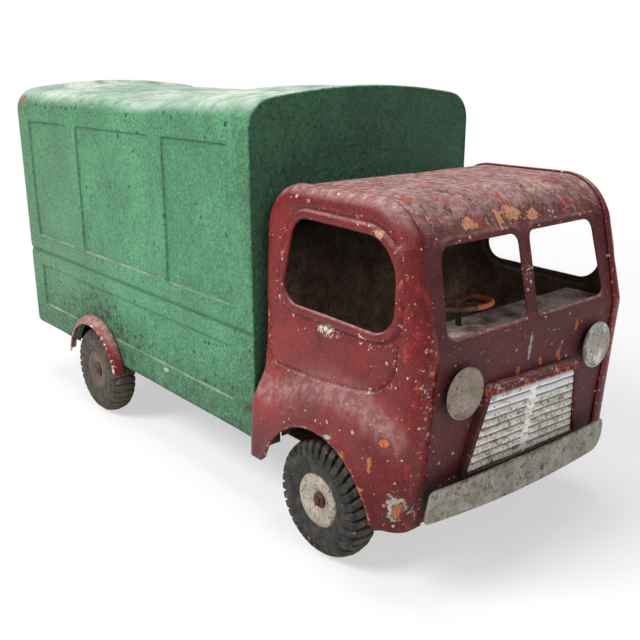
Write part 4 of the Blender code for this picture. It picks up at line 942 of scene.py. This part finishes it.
def side_x(y, z):
    """Plain face of the cab side; the fender stands out below its crest."""
    flare = 0.009 * smooth_step(z, crest_z(y) + 0.012, crest_z(y) - 0.014)
    flare *= smooth_step(y, CAB_NOSE_Y + 0.006, CAB_NOSE_Y + 0.034)
    return CAB_HALF + 0.04 * (CAB_NOSE_Z - z) + flare


def corner_radius(y, z):
    """Radius of the cab side's rolled edge, tighter down the rear lug."""
    return 0.009 - (0.003 * smooth_step(z, 0.120, 0.080) if y > ARCH.x else 0.0)


def arch_gap(y, z):
    """Distance outwards from the rim of the front wheel arch."""
    return math.hypot(y - ARCH.x, z - ARCH.y) - ARCH_RADIUS


def door_gap(y, z):
    """Distance from the door's pressed line, below the window."""
    return distance_to(DOOR_LINE, (y, z), closed=False) if z < DOOR_LINE_TOP else 1.0


def cab_side_relief(y, z):
    """How far the side pressing stands out from its plain face."""
    window = distance_to(SIDE_WINDOW, (y, z))
    out = 1.3 * smooth_step(window, 6.0 * MM, 4.8 * MM) - 1.7 * bell(window, -0.5 * MM, 1.1 * MM)
    out -= 0.8 * bell(window, 6.6 * MM, 1.0 * MM) + 1.3 * bell(door_gap(y, z), 0.0, 1.2 * MM)
    out += 1.2 * bell(arch_gap(y, z), 1.8 * MM, 1.8 * MM)
    return (out + 0.45 * wander((0, y, z), 0.035, 8) + 0.2 * wander((0, y, z), 0.012, 9)) * MM


def cab_sides():
    """The two side pressings, each the other's mirror image."""
    path = resample(cab_outline(), 3.0 * MM)
    turns = [math.radians(90 * i / 8) for i in range(9)]
    rings = []
    for corner, inward in zip(path, right_normals(path)):
        radius = corner_radius(*corner)
        lowest = CAB_LUG_Z if corner[0] > ARCH.x else CAB_BOTTOM_Z
        ring = []
        for turn in turns:
            step = Vector(corner) + inward * radius * (1 - math.cos(turn))
            ring.append((step.x, max(step.y, lowest), radius * (1 - math.sin(turn))))
        rings.append(ring)
    face_edge = [ring[-1][:2] for ring in rings]
    lug, foot = (math.degrees(math.asin((z + 4 * MM - ARCH.y) / ARCH_RADIUS))
                 for z in (CAB_LUG_Z, CAB_BOTTOM_Z))
    wheel_arch = arc(ARCH, ARCH_RADIUS, lug, 180 - foot, 56)
    reach = ARCH_RADIUS + 3 * MM
    bottom = resample([face_edge[-1], (ARCH.x + reach, CAB_LUG_Z)] + wheel_arch
                      + [(ARCH.x - reach, CAB_BOTTOM_Z), face_edge[0]], 3 * MM)[1:-1]
    points = []
    for step in (0.8, 1.8, 3.2, 4.6, 5.3, 6.0, 6.6, 7.2, 8.4):
        points += grown(SIDE_WINDOW, step * MM)
    line = [(Vector(p), n) for p, n in zip(DOOR_LINE, right_normals(DOOR_LINE)) if p[1] < DOOR_LINE_TOP]
    for step in (-2.2, -1.3, -0.6, 0, 0.6, 1.3, 2.2):
        points += [tuple(p + n * step * MM) for p, n in line]
    for step in (0.9, 1.9, 3.0, 4.4):
        points += arc(ARCH, ARCH_RADIUS + step * MM, lug + 3, 177 - foot, 60)
    face = flat_fill(face_edge + bottom, [SIDE_WINDOW], points, 3.0 * MM)
    relief = lru_cache(None)(cab_side_relief)
    for label, side in SIDES.items():
        rows = []
        for corner, ring in zip(path, rings):
            raised = relief(*ring[-1][:2])
            rows.append([(side * FLANGE_X, corner[0], ring[0][1])])
            rows[-1] += [(side * (side_x(y, z) - depth + raised * i / 8), y, z)
                         for i, (y, z, depth) in enumerate(ring)]
        bm = bmesh.new()
        grid(bm, rows)
        stretch(bm, face, lambda y, z: (side * (side_x(y, z) + relief(y, z)), y, z))
        bmesh.ops.remove_doubles(bm, verts=bm.verts, dist=0.02 * MM)
        face_away_from(bm, CAB_CENTRE)
        cab_side_wear(piece(f"cab_side_panel_{label}", bm, "van", MAROON,
                            [f"cab_side_{label}"], 50, SHEET, INSIDE))


def spot(p, back, z, size, long=1.0, lean=0.0):
    """1 at a place on the cab's side, falling to 0 at about the given size from it."""
    dy, dz = p.y - (VAN_FRONT_Y - back), p.z - z
    along = dy * math.cos(lean) + dz * math.sin(lean)
    across = dz * math.cos(lean) - dy * math.sin(lean)
    return math.exp(-(along / (size * long)) ** 2 - (across / size) ** 2)


def cab_side_wear(obj):
    """Masks of the side: worn edges and lines, bright red at the nose, white scuffs on the right."""
    def line(p):
        window = distance_to(SIDE_WINDOW, (p.y, p.z)) if p.z > 0.14 else 1.0
        return min(abs(window - 6.6 * MM), door_gap(p.y, p.z))

    def wear(p):
        corner = smooth_step(p.y, CAB_NOSE_Y + 0.012, CAB_NOSE_Y + 0.001) * smooth_step(p.z, 0.215, 0.15)
        low = smooth_step(p.z, 0.085, 0.05) * smooth_step(p.y, VAN_FRONT_Y - 0.105, VAN_FRONT_Y - 0.130)
        return (0.60 * smooth_step(arch_gap(p.y, p.z), 3.0 * MM, 0.4 * MM)
                + 0.45 * bell(line(p), 1.4 * MM, 1.5 * MM)
                + 0.42 * corner + 0.22 * low + 0.15 * spot(p, 0.118, 0.112, 0.018)
                + 0.30 * smooth_step(p.z, CAB_ROOF_Z - 6 * MM, CAB_ROOF_Z) + 0.10)

    tint(obj, "wear", wear)
    # painted shade with dirt: darker along the door line and at the wheel arch's rim
    tint(obj, "groove", lambda p: 0.65 * bell(line(p), 0.0, 0.8 * MM)
         + smooth_step(arch_gap(p.y, p.z), 0.4 * MM, 0.0))
    tint(obj, "red", lambda p: 0.68 * smooth_step(p.y, CAB_NOSE_Y + 0.024, CAB_NOSE_Y + 0.008) * (p.x < 0)
         + 0.35 * spot(p, 0.115, 0.145, 0.03))
    # painted highlight: a pale band along the fender's crest, set in the dust mask
    tint(obj, "dust_and_highlight", lambda p: 0.50 * bell(p.z, crest_z(p.y), 0.0085)
         * smooth_step(p.y, CAB_NOSE_Y + 0.004, CAB_NOSE_Y + 0.014))
    tint(obj, "orange", lambda p: 0.8 * smooth_step(arch_gap(p.y, p.z), 20 * MM, 4 * MM)
         * smooth_step(p.y, VAN_FRONT_Y - 0.075, VAN_FRONT_Y - 0.105))
    tint(obj, "white", lambda p: (1.05 * spot(p, 0.0686, 0.1460, 5.0 * MM, 2.2, -0.10)
                                  + 0.90 * spot(p, 0.0997, 0.1500, 3.6 * MM, 1.4)) * (p.x < 0))


class CabSheet:
    """The sheet from the front's foot over the roof: a path (y, z) walked by length."""

    def __init__(self):
        path = resample(cab_outline(), 1.5 * MM)
        walk = [(Vector(p) + n * INSET, -n) for p, n in zip(path, right_normals(path))]
        walk = [(p, out) for p, out in walk if p.x < CAB_REAR_Y - 8 * MM or p.y > 0.190]
        self.points, self.out = zip(*walk)
        self.lengths = [0.0]
        for a, b in zip(self.points, self.points[1:]):
            self.lengths.append(self.lengths[-1] + (b - a).length)

    def at(self, length):
        """The point and the outward normal at a length."""
        i = min(max(bisect_right(self.lengths, length) - 1, 0), len(self.lengths) - 2)
        t = (length - self.lengths[i]) / (self.lengths[i + 1] - self.lengths[i])
        return self.points[i].lerp(self.points[i + 1], t), self.out[i].lerp(self.out[i + 1], t)

    def length_at(self, height):
        """Length along the front of the sheet up to a height."""
        for i, (a, b) in enumerate(zip(self.points, self.points[1:])):
            if a.y <= height <= b.y:
                step = self.lengths[i + 1] - self.lengths[i]
                return self.lengths[i] + step * (height - a.y) / (b.y - a.y)


def cab_front_sheet():
    """Front panel, windscreen frame and roof in one sheet."""
    sheet = CabSheet()
    half, total = FRONT_SHEET_HALF, sheet.lengths[-1]
    openings, points = [], []
    for side in SIDES.values():
        pane = rounded([(side * x, *corner) for x, *corner in WINDSCREEN])
        openings.append(resample([(x, sheet.length_at(z)) for x, z in pane], 2.2 * MM, closed=True))
        for step in (0.8, 1.7, 2.8, 4.2):
            points += [p for p in grown(openings[-1], step * MM) if abs(p[0]) < half - 1 * MM]
    outer = resample([(-half, 0), (half, 0), (half, total), (-half, total)], 3.2 * MM, closed=True)

    def place(x, length):
        point, out = sheet.at(length)
        window = min(distance_to(loop, (x, length)) for loop in openings)
        push = 0.9 * bell(window, 2.4 * MM, 1.9 * MM) - 1.2 * bell(window, -0.3 * MM, 1.1 * MM) - 0.1
        push += 0.5 * wander((x, point.x, point.y), 0.040, 12) * smooth_step(half - abs(x), 0.0, 0.01)
        if WINDSCREEN_Z[0] < point.y < WINDSCREEN_Z[1] + 2 * MM:
            push += 0.6 * smooth_step(abs(x), 6 * MM, 2 * MM)
        return x, point.x + out.x * push * MM, point.y + out.y * push * MM

    bm = bmesh.new()
    stretch(bm, flat_fill(outer, openings, points, 3.2 * MM), place)
    face_away_from(bm, (0, CAB_CENTRE[1], 0.10))
    obj = piece("cab_front_and_roof_sheet", bm, "van", MAUVE, ["cab_front_and_roof"], 50,
                SHEET, INSIDE)

    def sill(p):
        ahead = p.y < CAB_HEADER_Y + 0.01 and 0.145 < p.z < 0.208
        return max(smooth_step(abs(p.z - edge), 0.0045, 0.0005) for edge in WINDSCREEN_Z) if ahead else 0.0

    def front_bell(p, centre, width):
        return bell(p.z, centre, width) * (p.y < CAB_HEADER_Y)

    def post(p):
        return abs(p.x) < 0.0055

    tint(obj, "wear", lambda p: 0.12 + 0.30 * front_bell(p, 0.2110, 0.008) + 0.25 * sill(p)
         + 0.30 * smooth_step(p.z, 0.2225, 0.2245) + 0.30 * smooth_step(p.z, 0.060, 0.046)
         + 0.35 * post(p) * front_bell(p, 0.176, 0.016))
    tint(obj, "red", lambda p: 0.35 * smooth_step(abs(p.x), 0.074, 0.085))
    tint(obj, "threads", lambda p: smooth_step(p.z, 0.200, 0.210))
    tint(obj, "white", lambda p: 0.60 * post(p) * front_bell(p, 0.178, 0.010)
         + 0.55 * front_bell(p, 0.2040, 0.004) * bell(p.x, -0.012, 0.014))


# ---------------------------------------------------------------- front fittings
FRONT_LEAN = math.atan2(CAB_FRONT_BOTTOM_Y - CAB_NOSE_Y, CAB_NOSE_Z - CAB_BOTTOM_Z)
GRILLE_Z = 0.0900
GRILLE_TOP, GRILLE_BOTTOM = 0.0275, -0.0280
GRILLE_TOP_HALF, GRILLE_BOTTOM_HALF = 0.0447, 0.0571
GRILLE_BAND, GRILLE_TOP_BAND = 3.0 * MM, 6.0 * MM
GRILLE_TILT = math.radians(-2.6)        # the grille sits a little crooked
GRILLE_SHIFT = 1.8 * MM
RIBS = 9
# The surround's section: share of the way from its outer edge to its opening, and height in mm
SURROUND = ((0.0, 0.3), (0.0, 2.6), (0.0, 4.6), (0.10, 5.25), (0.24, 5.45), (0.40, 5.40), (0.46, 4.95),
            (0.54, 4.95), (0.60, 5.40), (0.76, 5.55), (0.88, 5.30), (1.0, 4.6), (1.0, 2.6), (1.0, 0.3))


def on_grille(x, up, out):
    """A point of the grille, which leans with the front panel and is shifted and turned on it a little."""
    turned = Matrix.Rotation(GRILLE_TILT, 2) @ Vector((x, up))
    face_y = CAB_NOSE_Y + INSET + math.tan(FRONT_LEAN) * (CAB_NOSE_Z - GRILLE_Z)
    lean = Matrix.Rotation(FRONT_LEAN, 4, "X")
    return Vector((0, face_y, GRILLE_Z)) + lean @ Vector((turned.x + GRILLE_SHIFT, -out, turned.y))


def trapezoid(inset, radius, top_inset=0.0):
    """The grille's outline, or the same made smaller."""
    top, bottom = GRILLE_TOP - top_inset, GRILLE_BOTTOM + inset
    top_half, bottom_half = GRILLE_TOP_HALF - inset, GRILLE_BOTTOM_HALF - inset
    return rounded([(x, up, radius, 8) for x, up in ((-bottom_half, bottom), (bottom_half, bottom),
                                                     (top_half, top), (-top_half, top))])


def grille_surround():
    """Raised frame with its flaking top band."""
    outer = resample(trapezoid(0.0, 5.0 * MM), 2.2 * MM, closed=True)
    inner = trapezoid(GRILLE_BAND, 3.0 * MM, GRILLE_TOP_BAND)
    centre = Vector((0, -0.001))
    rows = []
    for point in outer:
        ray = Vector(point) - centre
        reach = 1.0
        for a, b in neighbours(inner):
            edge, gap = Vector(b) - Vector(a), Vector(a) - centre
            cross = ray.cross(edge)
            if abs(cross) > 1e-12 and 0 <= gap.cross(ray) / cross <= 1:
                hit = gap.cross(edge) / cross
                reach = hit if 0 < hit < reach else reach
        row = []
        for share, out in SURROUND:
            place = Vector(point).lerp(centre + ray * reach, share)
            uneven = 0.30 * wander((place.x, place.y, share * 0.01), 0.007, 3) * (out > 4)
            row.append(on_grille(place.x, place.y, (out + uneven) * MM))
        rows.append(row)
    bm = bmesh.new()
    grid(bm, rows, around=True, along=True)
    bmesh.ops.recalc_face_normals(bm, faces=bm.faces)
    surround = piece("grille_surround", bm, "van", MAUVE, ["grille_frame"], 60)
    tint(surround, "wear", lambda p: 0.30 + 0.30 * smooth_step(p.z, 0.106, 0.112))
    tint(surround, "orange", lambda p: 0.3 * smooth_step(p.x, 0.0, 0.03))
    # painted shade on the near half of the surround's top band
    tint(surround, "groove", lambda p: 0.65 * smooth_step(p.x, 0.0, -0.035) * smooth_step(p.z, 0.113, 0.108))


def grille_plate():
    """The ribbed plate with its spine."""
    low, high = GRILLE_BOTTOM + GRILLE_BAND, GRILLE_TOP - GRILLE_TOP_BAND
    steps, columns = 16, 30
    slope = (GRILLE_TOP_HALF - GRILLE_BOTTOM_HALF) / (GRILLE_TOP - GRILLE_BOTTOM)
    rows, dirt_and_shade = [], []
    for i in range(RIBS * steps + 1):
        up = low + (high - low) * i / (RIBS * steps)
        phase = (i % steps) / steps
        rise = math.sin(math.pi * smooth_step(phase, 0.06, 0.94)) ** 0.45 if phase else 0.0
        half = GRILLE_BOTTOM_HALF + slope * (up - GRILLE_BOTTOM) - GRILLE_BAND - 0.3 * MM
        row = []
        for k in range(2 * columns + 1):
            x = half * (k / columns - 1)
            ends = smooth_step(half - abs(x), 0.2 * MM, 3.0 * MM)
            wobble = 0.30 * MM * wander((x, up, 0), 0.012, 5)
            sway = 0.40 * MM * wander((x, up, 1), 0.02, 6)
            row.append(on_grille(x, up + sway, 3.4 * MM + 2.1 * MM * rise * ends + wobble * ends))
            # painted shade with dirt in the hollows between the ribs
            dirt_and_shade.append(smooth_step(1 - rise * (0.35 + 0.65 * ends), 0.62, 0.97))
        rows.append(row)
    bm = bmesh.new()
    grid(bm, rows)
    face_away_from(bm, (0, 0, GRILLE_Z))
    ribs = piece("grille_ribs", bm, "van", GRILLE, ["grille_plate"], 60, 0.6 * MM)
    ribs.data.attributes.new("groove", "FLOAT", "POINT").data.foreach_set("value", dirt_and_shade)
    tint(ribs, "wear", lambda p: 0.26 * smooth_step(p.z, 0.104, 0.095))
    tint(ribs, "white", lambda p: 0.8 * smooth_step(p.z + 0.045 * p.x, 0.097, 0.102)
         + 0.30 * bell(p.x, 0.0, 0.012) + 0.25 * bell(p.z, 0.076, 0.008) * bell(p.x, -0.015, 0.02))
    rows = []
    for i in range(49):
        up = low + 0.5 * MM + (high - low - 1 * MM) * i / 48
        bend = 0.9 * MM * wander((up, 0, 5), 0.010, 4)
        width = 3.4 * MM * (1 + 0.55 * wander((up, 0, 0), 0.0035, 7)) * smooth_step(min(i, 48 - i), -2, 4)
        row = []
        for k in range(9):
            angle = math.pi * k / 8
            out = 3.2 * MM + math.sin(angle) * 2.1 * MM * (1 + 0.35 * wander((up, k * 0.001, 3), 0.003, 8))
            row.append(on_grille(bend - math.cos(angle) * width, up, out))
        rows.append(row)
    bm = bmesh.new()
    grid(bm, rows)
    face_away_from(bm, (0, 0, GRILLE_Z))
    spine = piece("grille_spine", bm, "van", GRILLE, [], 60, 0.5 * MM)
    tint(spine, "white", lambda p: 0.45)


def headlamp(label):
    """Flat disc with a thin raised rim."""
    node = f"headlamp_disc_{label}"
    low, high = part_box(node)
    centre = (low + high) / 2
    radius = (high.x - low.x) / 2
    depth = high.y - low.y
    place = Matrix.Translation((centre.x, high.y, centre.z)) @ Matrix.Rotation(math.pi / 2, 4, "X")
    face = ((0.0, 0.35), (0.30, 0.45), (0.60, 0.75), (0.80, 1.05), (0.880, 1.10), (0.905, 0.75),
            (0.930, 0.45), (0.955, 0.45), (0.980, 0.65), (1.0, 1.10))
    profile = [(share * radius, depth - down * MM) for share, down in face]
    profile += [(radius, 0.35 * MM), (0.97 * radius, 0.0), (0.0, 0.0)]

    def shape(angle, r, h):
        uneven = wander((math.cos(angle) * 0.01, math.sin(angle) * 0.01, centre.x * 0.3), 0.008, 9)
        return r * (1 - 0.008 * (1 + uneven)), h - 0.12 * MM * (1 + uneven) * (h > 1 * MM)

    bm = turned(profile, 72, place, shape)
    disc = piece(f"headlamp_{label}", bm, "van", LAMP[label], [node], 50)
    # painted shadow: the lamp's back, behind its face, is darkened where it stands off the panel
    tint(disc, "groove", lambda p: smooth_step(p.y, low.y + 1.3 * MM, low.y + 2.0 * MM))
    if label == "left":
        tint(disc, "wear", lambda p: 0.9 * smooth_step(p.x - centre.x, -0.55 * radius, -0.85 * radius))
        tint(disc, "white", lambda p: 0.20 + 0.25 * bell(p.x - centre.x, 3 * MM, 7 * MM))


def bumper():
    """Bowed strip with rounded ends and a small hole; its right-hand half is bent further back."""
    low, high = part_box("bumper")
    near, far = low.x - 1.5 * MM, high.x - 3.0 * MM
    bottom, top = low.z, high.z
    tilt = 1.2 * MM / far
    outline = resample(rounded([
        (near, bottom, 0.0030, 6), (far - 1 * MM, bottom - 0.6 * MM, 0.0120, 10),
        (far, top - 1.0 * MM, 0.0055, 8), (-0.02, top + 1.0 * MM),
        (near + 4.5 * MM, top - 1.5 * MM, 0.0040, 6)]), 2.0 * MM, closed=True)
    hole_x, hole_z = 9.8 * MM, 54.8 * MM
    points = []
    for step in (0.35, 0.8, 1.4):
        points += grown(outline, -step * MM)

    def face_y(x):
        return low.y + (7.5 * MM * (x / near) ** 2 if x < 0 else 3.9 * MM * (x / far) ** 2)

    def place(x, z):
        edge = max(-distance_to(outline, (x, z)), 0.0)
        turned_in = 0.75 * (1 - smooth_step(edge, 0.0, 1.5 * MM))
        fold = 0.35 * bell(x, -5 * MM, 1.3 * MM)
        wave = 0.35 * (1 + wander((x, 0, z), 0.030, 10)) * smooth_step(edge, 0, 4 * MM)
        return x, face_y(x) + (turned_in + fold + wave) * MM, z - tilt * x

    bm = bmesh.new()
    stretch(bm, flat_fill(outline, [arc((hole_x, hole_z), 1.2 * MM, 0, 345, 23)], points, 2.4 * MM), place)
    face_away_from(bm, (0, 0, 0.057))
    bar = piece("bumper_bar", bm, "van", BUMPER, ["bumper"], 50, 1.1 * MM)
    # painted shade on the bumper's turned-back edge and round its hole
    tint(bar, "groove", lambda p: 0.8 * smooth_step(p.y - face_y(p.x), 0.8 * MM, 1.2 * MM)
         + smooth_step(math.hypot(p.x - hole_x, p.z - hole_z), 1.9 * MM, 1.2 * MM))
    tint(bar, "wear", lambda p: 0.10 + 0.3 * smooth_step(p.z, top - 2.5 * MM, top)
         + 0.5 * bell(p.x, -5 * MM, 1.5 * MM))


# ---------------------------------------------------------------- steering wheel
def steering_wheel():
    """Rim, hub and three pairs of spokes, all of wire."""
    pivot = Vector((-0.036, VAN_FRONT_Y - 0.113, 0.1605))
    place = Matrix.Translation(pivot) @ Matrix.Rotation(math.radians(-6), 4, "X")
    rim = 19.5 * MM

    def spoke_end(degrees, radius):
        return Vector((*arc((0, 0), radius, degrees, degrees, 1)[0], 0))

    def wire(name, path, radius, segments, closed, replaces=()):
        return piece(name, tube([place @ p for p in path], radius, segments, closed), "steering", RIM,
                     replaces, 60)

    circle = [Vector((*p, 0)) for p in arc((0, 0), rim, 0, 360, 64)[:-1]]
    hoop = wire("steering_rim", circle, 1.35 * MM, 12, True, ["steering_wheel"])
    tint(hoop, "orange", lambda p: smooth_step(p.x - pivot.x - (p.y - pivot.y), 8 * MM, 20 * MM))
    arch = [Vector((0, 0, 0.9 * MM * math.sin(math.pi * i / 8))) for i in range(9)]
    for number, root in enumerate((-100, -100, 20, 20, 140, 140)):
        start = spoke_end(root, 2.6 * MM)
        end = spoke_end(root + (12 if number % 2 else -12), rim - 0.3 * MM)
        path = [start.lerp(end, i / 8) + rise for i, rise in enumerate(arch)]
        wire(f"steering_spoke_{number}", path, 0.85 * MM, 8, False)
    profile = in_mm((0.0, 1.4), (1.4, 1.4), (1.7, 2.0), (2.6, 2.1), (3.3, 1.3), (3.9, -1.5), (3.5, -2.1),
                    (0.0, -2.1))
    piece("steering_hub", turned(profile, 32, place), "steering", RIM, [], 50)


# ---------------------------------------------------------------- wheels
TREAD_RIBS = 34
TYRE_HALF_WIDTH = 11.2 * MM
SIDEWALL = resample(rounded([
    *in_mm((15.6, 6.6)), (18.0 * MM, 9.0 * MM, 2 * MM, 5), (26.0 * MM, TYRE_HALF_WIDTH, 5 * MM, 6),
    (33.2 * MM, 10.0 * MM, 3 * MM, 7), (36.9 * MM, 6.0 * MM, 5 * MM, 6), (TYRE_RADIUS + 0.05 * MM, 0.0)],
    closed=False), 1.3 * MM)
HUB_DISC = in_mm((2.9, 5.9), (4.2, 6.2), (6.4, 7.4), (9.0, 9.0), (12.0, 9.8), (14.5, 9.9), (16.4, 9.3),
                 (17.1, 8.7), (17.4, 8.2), (16.9, 7.7), (15.2, 6.4), (15.2, 0.3), (14.2, 0.3), (14.2, 7.6),
                 (2.9, 4.9))


def wheel(end, label, side):
    """A ribbed tyre and the two dented discs of its hub."""
    body = f"wheel_{end}_{label}"
    centre = middle(f"tyre_{end}_{label}")
    place = Matrix.Translation(centre) @ Matrix.Rotation(side * math.pi / 2, 4, "Y")
    worn = 1.0 if end == "front" else 0.75

    def tread(angle, r, h):
        strength = smooth_step(r, 25.5 * MM, 32.0 * MM)
        lean = 0.7 * (abs(h) / TYRE_HALF_WIDTH) ** 2
        phase = (angle * TREAD_RIBS / (2 * math.pi) + lean) % 1
        groove = 2.1 * MM * smooth_step(abs(phase - 0.5), 0.32, 0.42) * strength * worn
        rib = 0.25 * MM * wander((angle * 0.038, h, 0), 0.006, 14)
        inward = math.copysign(groove * 0.45, h) * (abs(h) > 4 * MM)
        return r - groove * 0.85 - 0.15 * MM + rib * strength, h - inward

    profile = SIDEWALL + [(r, -h) for r, h in reversed(SIDEWALL[:-1])]
    bm = turned(profile, TREAD_RIBS * 10, place, tread)
    tyre = piece(f"ribbed_tyre_{end}_{label}", bm, body, TYRE[end],
                 [f"tyre_{end}_{label}"], 60)
    tint(tyre, "proud", lambda p: smooth_step(off_axle(p, centre), 34 * MM, 37.4 * MM))
    for face, sign in (("outer", 1), ("inner", -1)):
        def dented(angle, r, h):
            uneven = wander((math.cos(angle) * r, math.sin(angle) * r, side * 0.05 + sign), 0.009, 15 + side)
            return r, h + 0.22 * MM * uneven * (r > 4 * MM) * (abs(h) > 7 * MM)

        bm = turned([(r, h * sign) for r, h in HUB_DISC], 72, place, dented)
        hub = piece(f"hub_{face}_disc_{end}_{label}", bm, body, HUB[end],
                    [f"hub_{face}_{end}_{label}"], 45)
        tint(hub, "wear", lambda p: 0.9 * smooth_step(off_axle(p, centre), 7 * MM, 3.5 * MM)
             + 0.8 * smooth_step(off_axle(p, centre), 15.8 * MM, 17.2 * MM)
             + (0.35 if end == "rear" else 0.0))


# ---------------------------------------------------------------- all the pieces
van_shell()
for label, side in SIDES.items():
    mudguard(label, side)
    rear_door(label, side)
cab_sides()
cab_front_sheet()
grille_surround()
grille_plate()
bumper()
steering_wheel()
for label, side in SIDES.items():
    headlamp(label)
    for end in ENDS:
        wheel(end, label, side)
CORNERS = [f"{end}_{label}" for end in ENDS for label in SIDES]
KEPT_NODES = (
    (SHADED_GREEN, ["van_front_wall", "van_floor", "rear_frame"]),
    (INSIDE, ["cab_rear_panel", "cab_floor", "dash_shelf"]),
    (RUST, ["axle_front", "axle_rear", "door_handle", "door_hinge_pin_right", "door_hinge_pin_left"]
     + [f"axle_cap_{corner}" for corner in CORNERS]),
    (CHASSIS, ["chassis", "axle_bracket_front", "axle_bracket_rear", "steering_column"]
     + [f"{name}_{label}" for name in ("bumper_bracket", "headlamp_back") for label in SIDES]
     + [f"body_screw_{corner}" for corner in CORNERS]))
for finish, nodes in KEPT_NODES:
    for node in nodes:
        finish_node(node, finish)


# ---------------------------------------------------------------- stage, light and camera
def stage():
    """Pale floor that fades into the white surroundings."""
    mesh = bpy.data.meshes.new("floor")
    bm = bmesh.new()
    bmesh.ops.create_grid(bm, x_segments=1, y_segments=1, size=2.5)
    bm.to_mesh(mesh)
    bm.free()
    floor = bpy.data.objects.new("floor", mesh)
    bpy.context.scene.collection.objects.link(floor)
    f = Finish("pale_floor")
    f.done(0.9, f.noise(0.002, 2), 0.00005, specular=0.1)
    tree, joined = f.tree, f.shader.outputs[0]
    reach = tree.nodes.new("ShaderNodeVectorMath")
    reach.operation = "LENGTH"
    f.join(f.place, reach.inputs[0])
    rays = tree.nodes.new("ShaderNodeLightPath")
    seen = f.times(rays.outputs["Is Camera Ray"], f.between(reach.outputs["Value"], 0.25, 1.1, 0.55, 1.0))
    glow = tree.nodes.new("ShaderNodeEmission")
    mixed = tree.nodes.new("ShaderNodeMixShader")
    f.join(seen, mixed.inputs[0])
    f.join(joined, mixed.inputs[1])
    f.join(glow.outputs[0], mixed.inputs[2])
    f.join(mixed.outputs[0], tree.nodes["Material Output"].inputs["Surface"])
    mesh.materials.append(f.material)


def soft_light(name, place, target, size, power, colour=(1, 1, 1)):
    data = bpy.data.lights.new(name, "AREA")
    data.shape = "DISK"
    data.size = size
    data.energy = power
    data.color = colour
    light = bpy.data.objects.new(name, data)
    light.location = place
    light.rotation_euler = (Vector(target) - Vector(place)).to_track_quat("-Z", "Y").to_euler()
    bpy.context.scene.collection.objects.link(light)


def world():
    """White to the camera, soft grey light to everything else."""
    world = bpy.data.worlds.new("studio")
    bpy.context.scene.world = world
    world.use_nodes = True
    tree = world.node_tree
    background = tree.nodes["Background"]
    background.inputs["Color"].default_value = (1, 1, 1, 1)
    rays = tree.nodes.new("ShaderNodeLightPath")
    level = tree.nodes.new("ShaderNodeMapRange")
    tree.links.new(rays.outputs["Is Camera Ray"], level.inputs[0])
    level.inputs[3].default_value = 0.17
    level.inputs[4].default_value = 1.0
    tree.links.new(level.outputs[0], background.inputs["Strength"])


def camera():
    data = bpy.data.cameras.new("camera")
    data.sensor_width = 36.0
    data.lens = 46.06
    data.clip_start = 0.01
    view = bpy.data.objects.new("camera", data)
    azimuth, elevation, roll = (math.radians(a) for a in (-40.32, 17.03, 0.03))
    view.location = (-0.3886, -0.5165, 0.2887)
    view.rotation_euler = (math.pi / 2 - elevation, roll, azimuth)
    bpy.context.scene.collection.objects.link(view)
    bpy.context.scene.camera = view


stage()
world()
soft_light("high_right", (-1.5, 0.45, 1.75), (0, 0, 0.12), 1.1, 58)
soft_light("overhead", (0.1, 0.1, 2.2), (0, 0, 0.1), 1.4, 24)
soft_light("ahead", (-0.5, -2.0, 1.1), (0, -0.1, 0.12), 1.0, 10)
camera()
bpy.context.scene.view_settings.view_transform = "Standard"
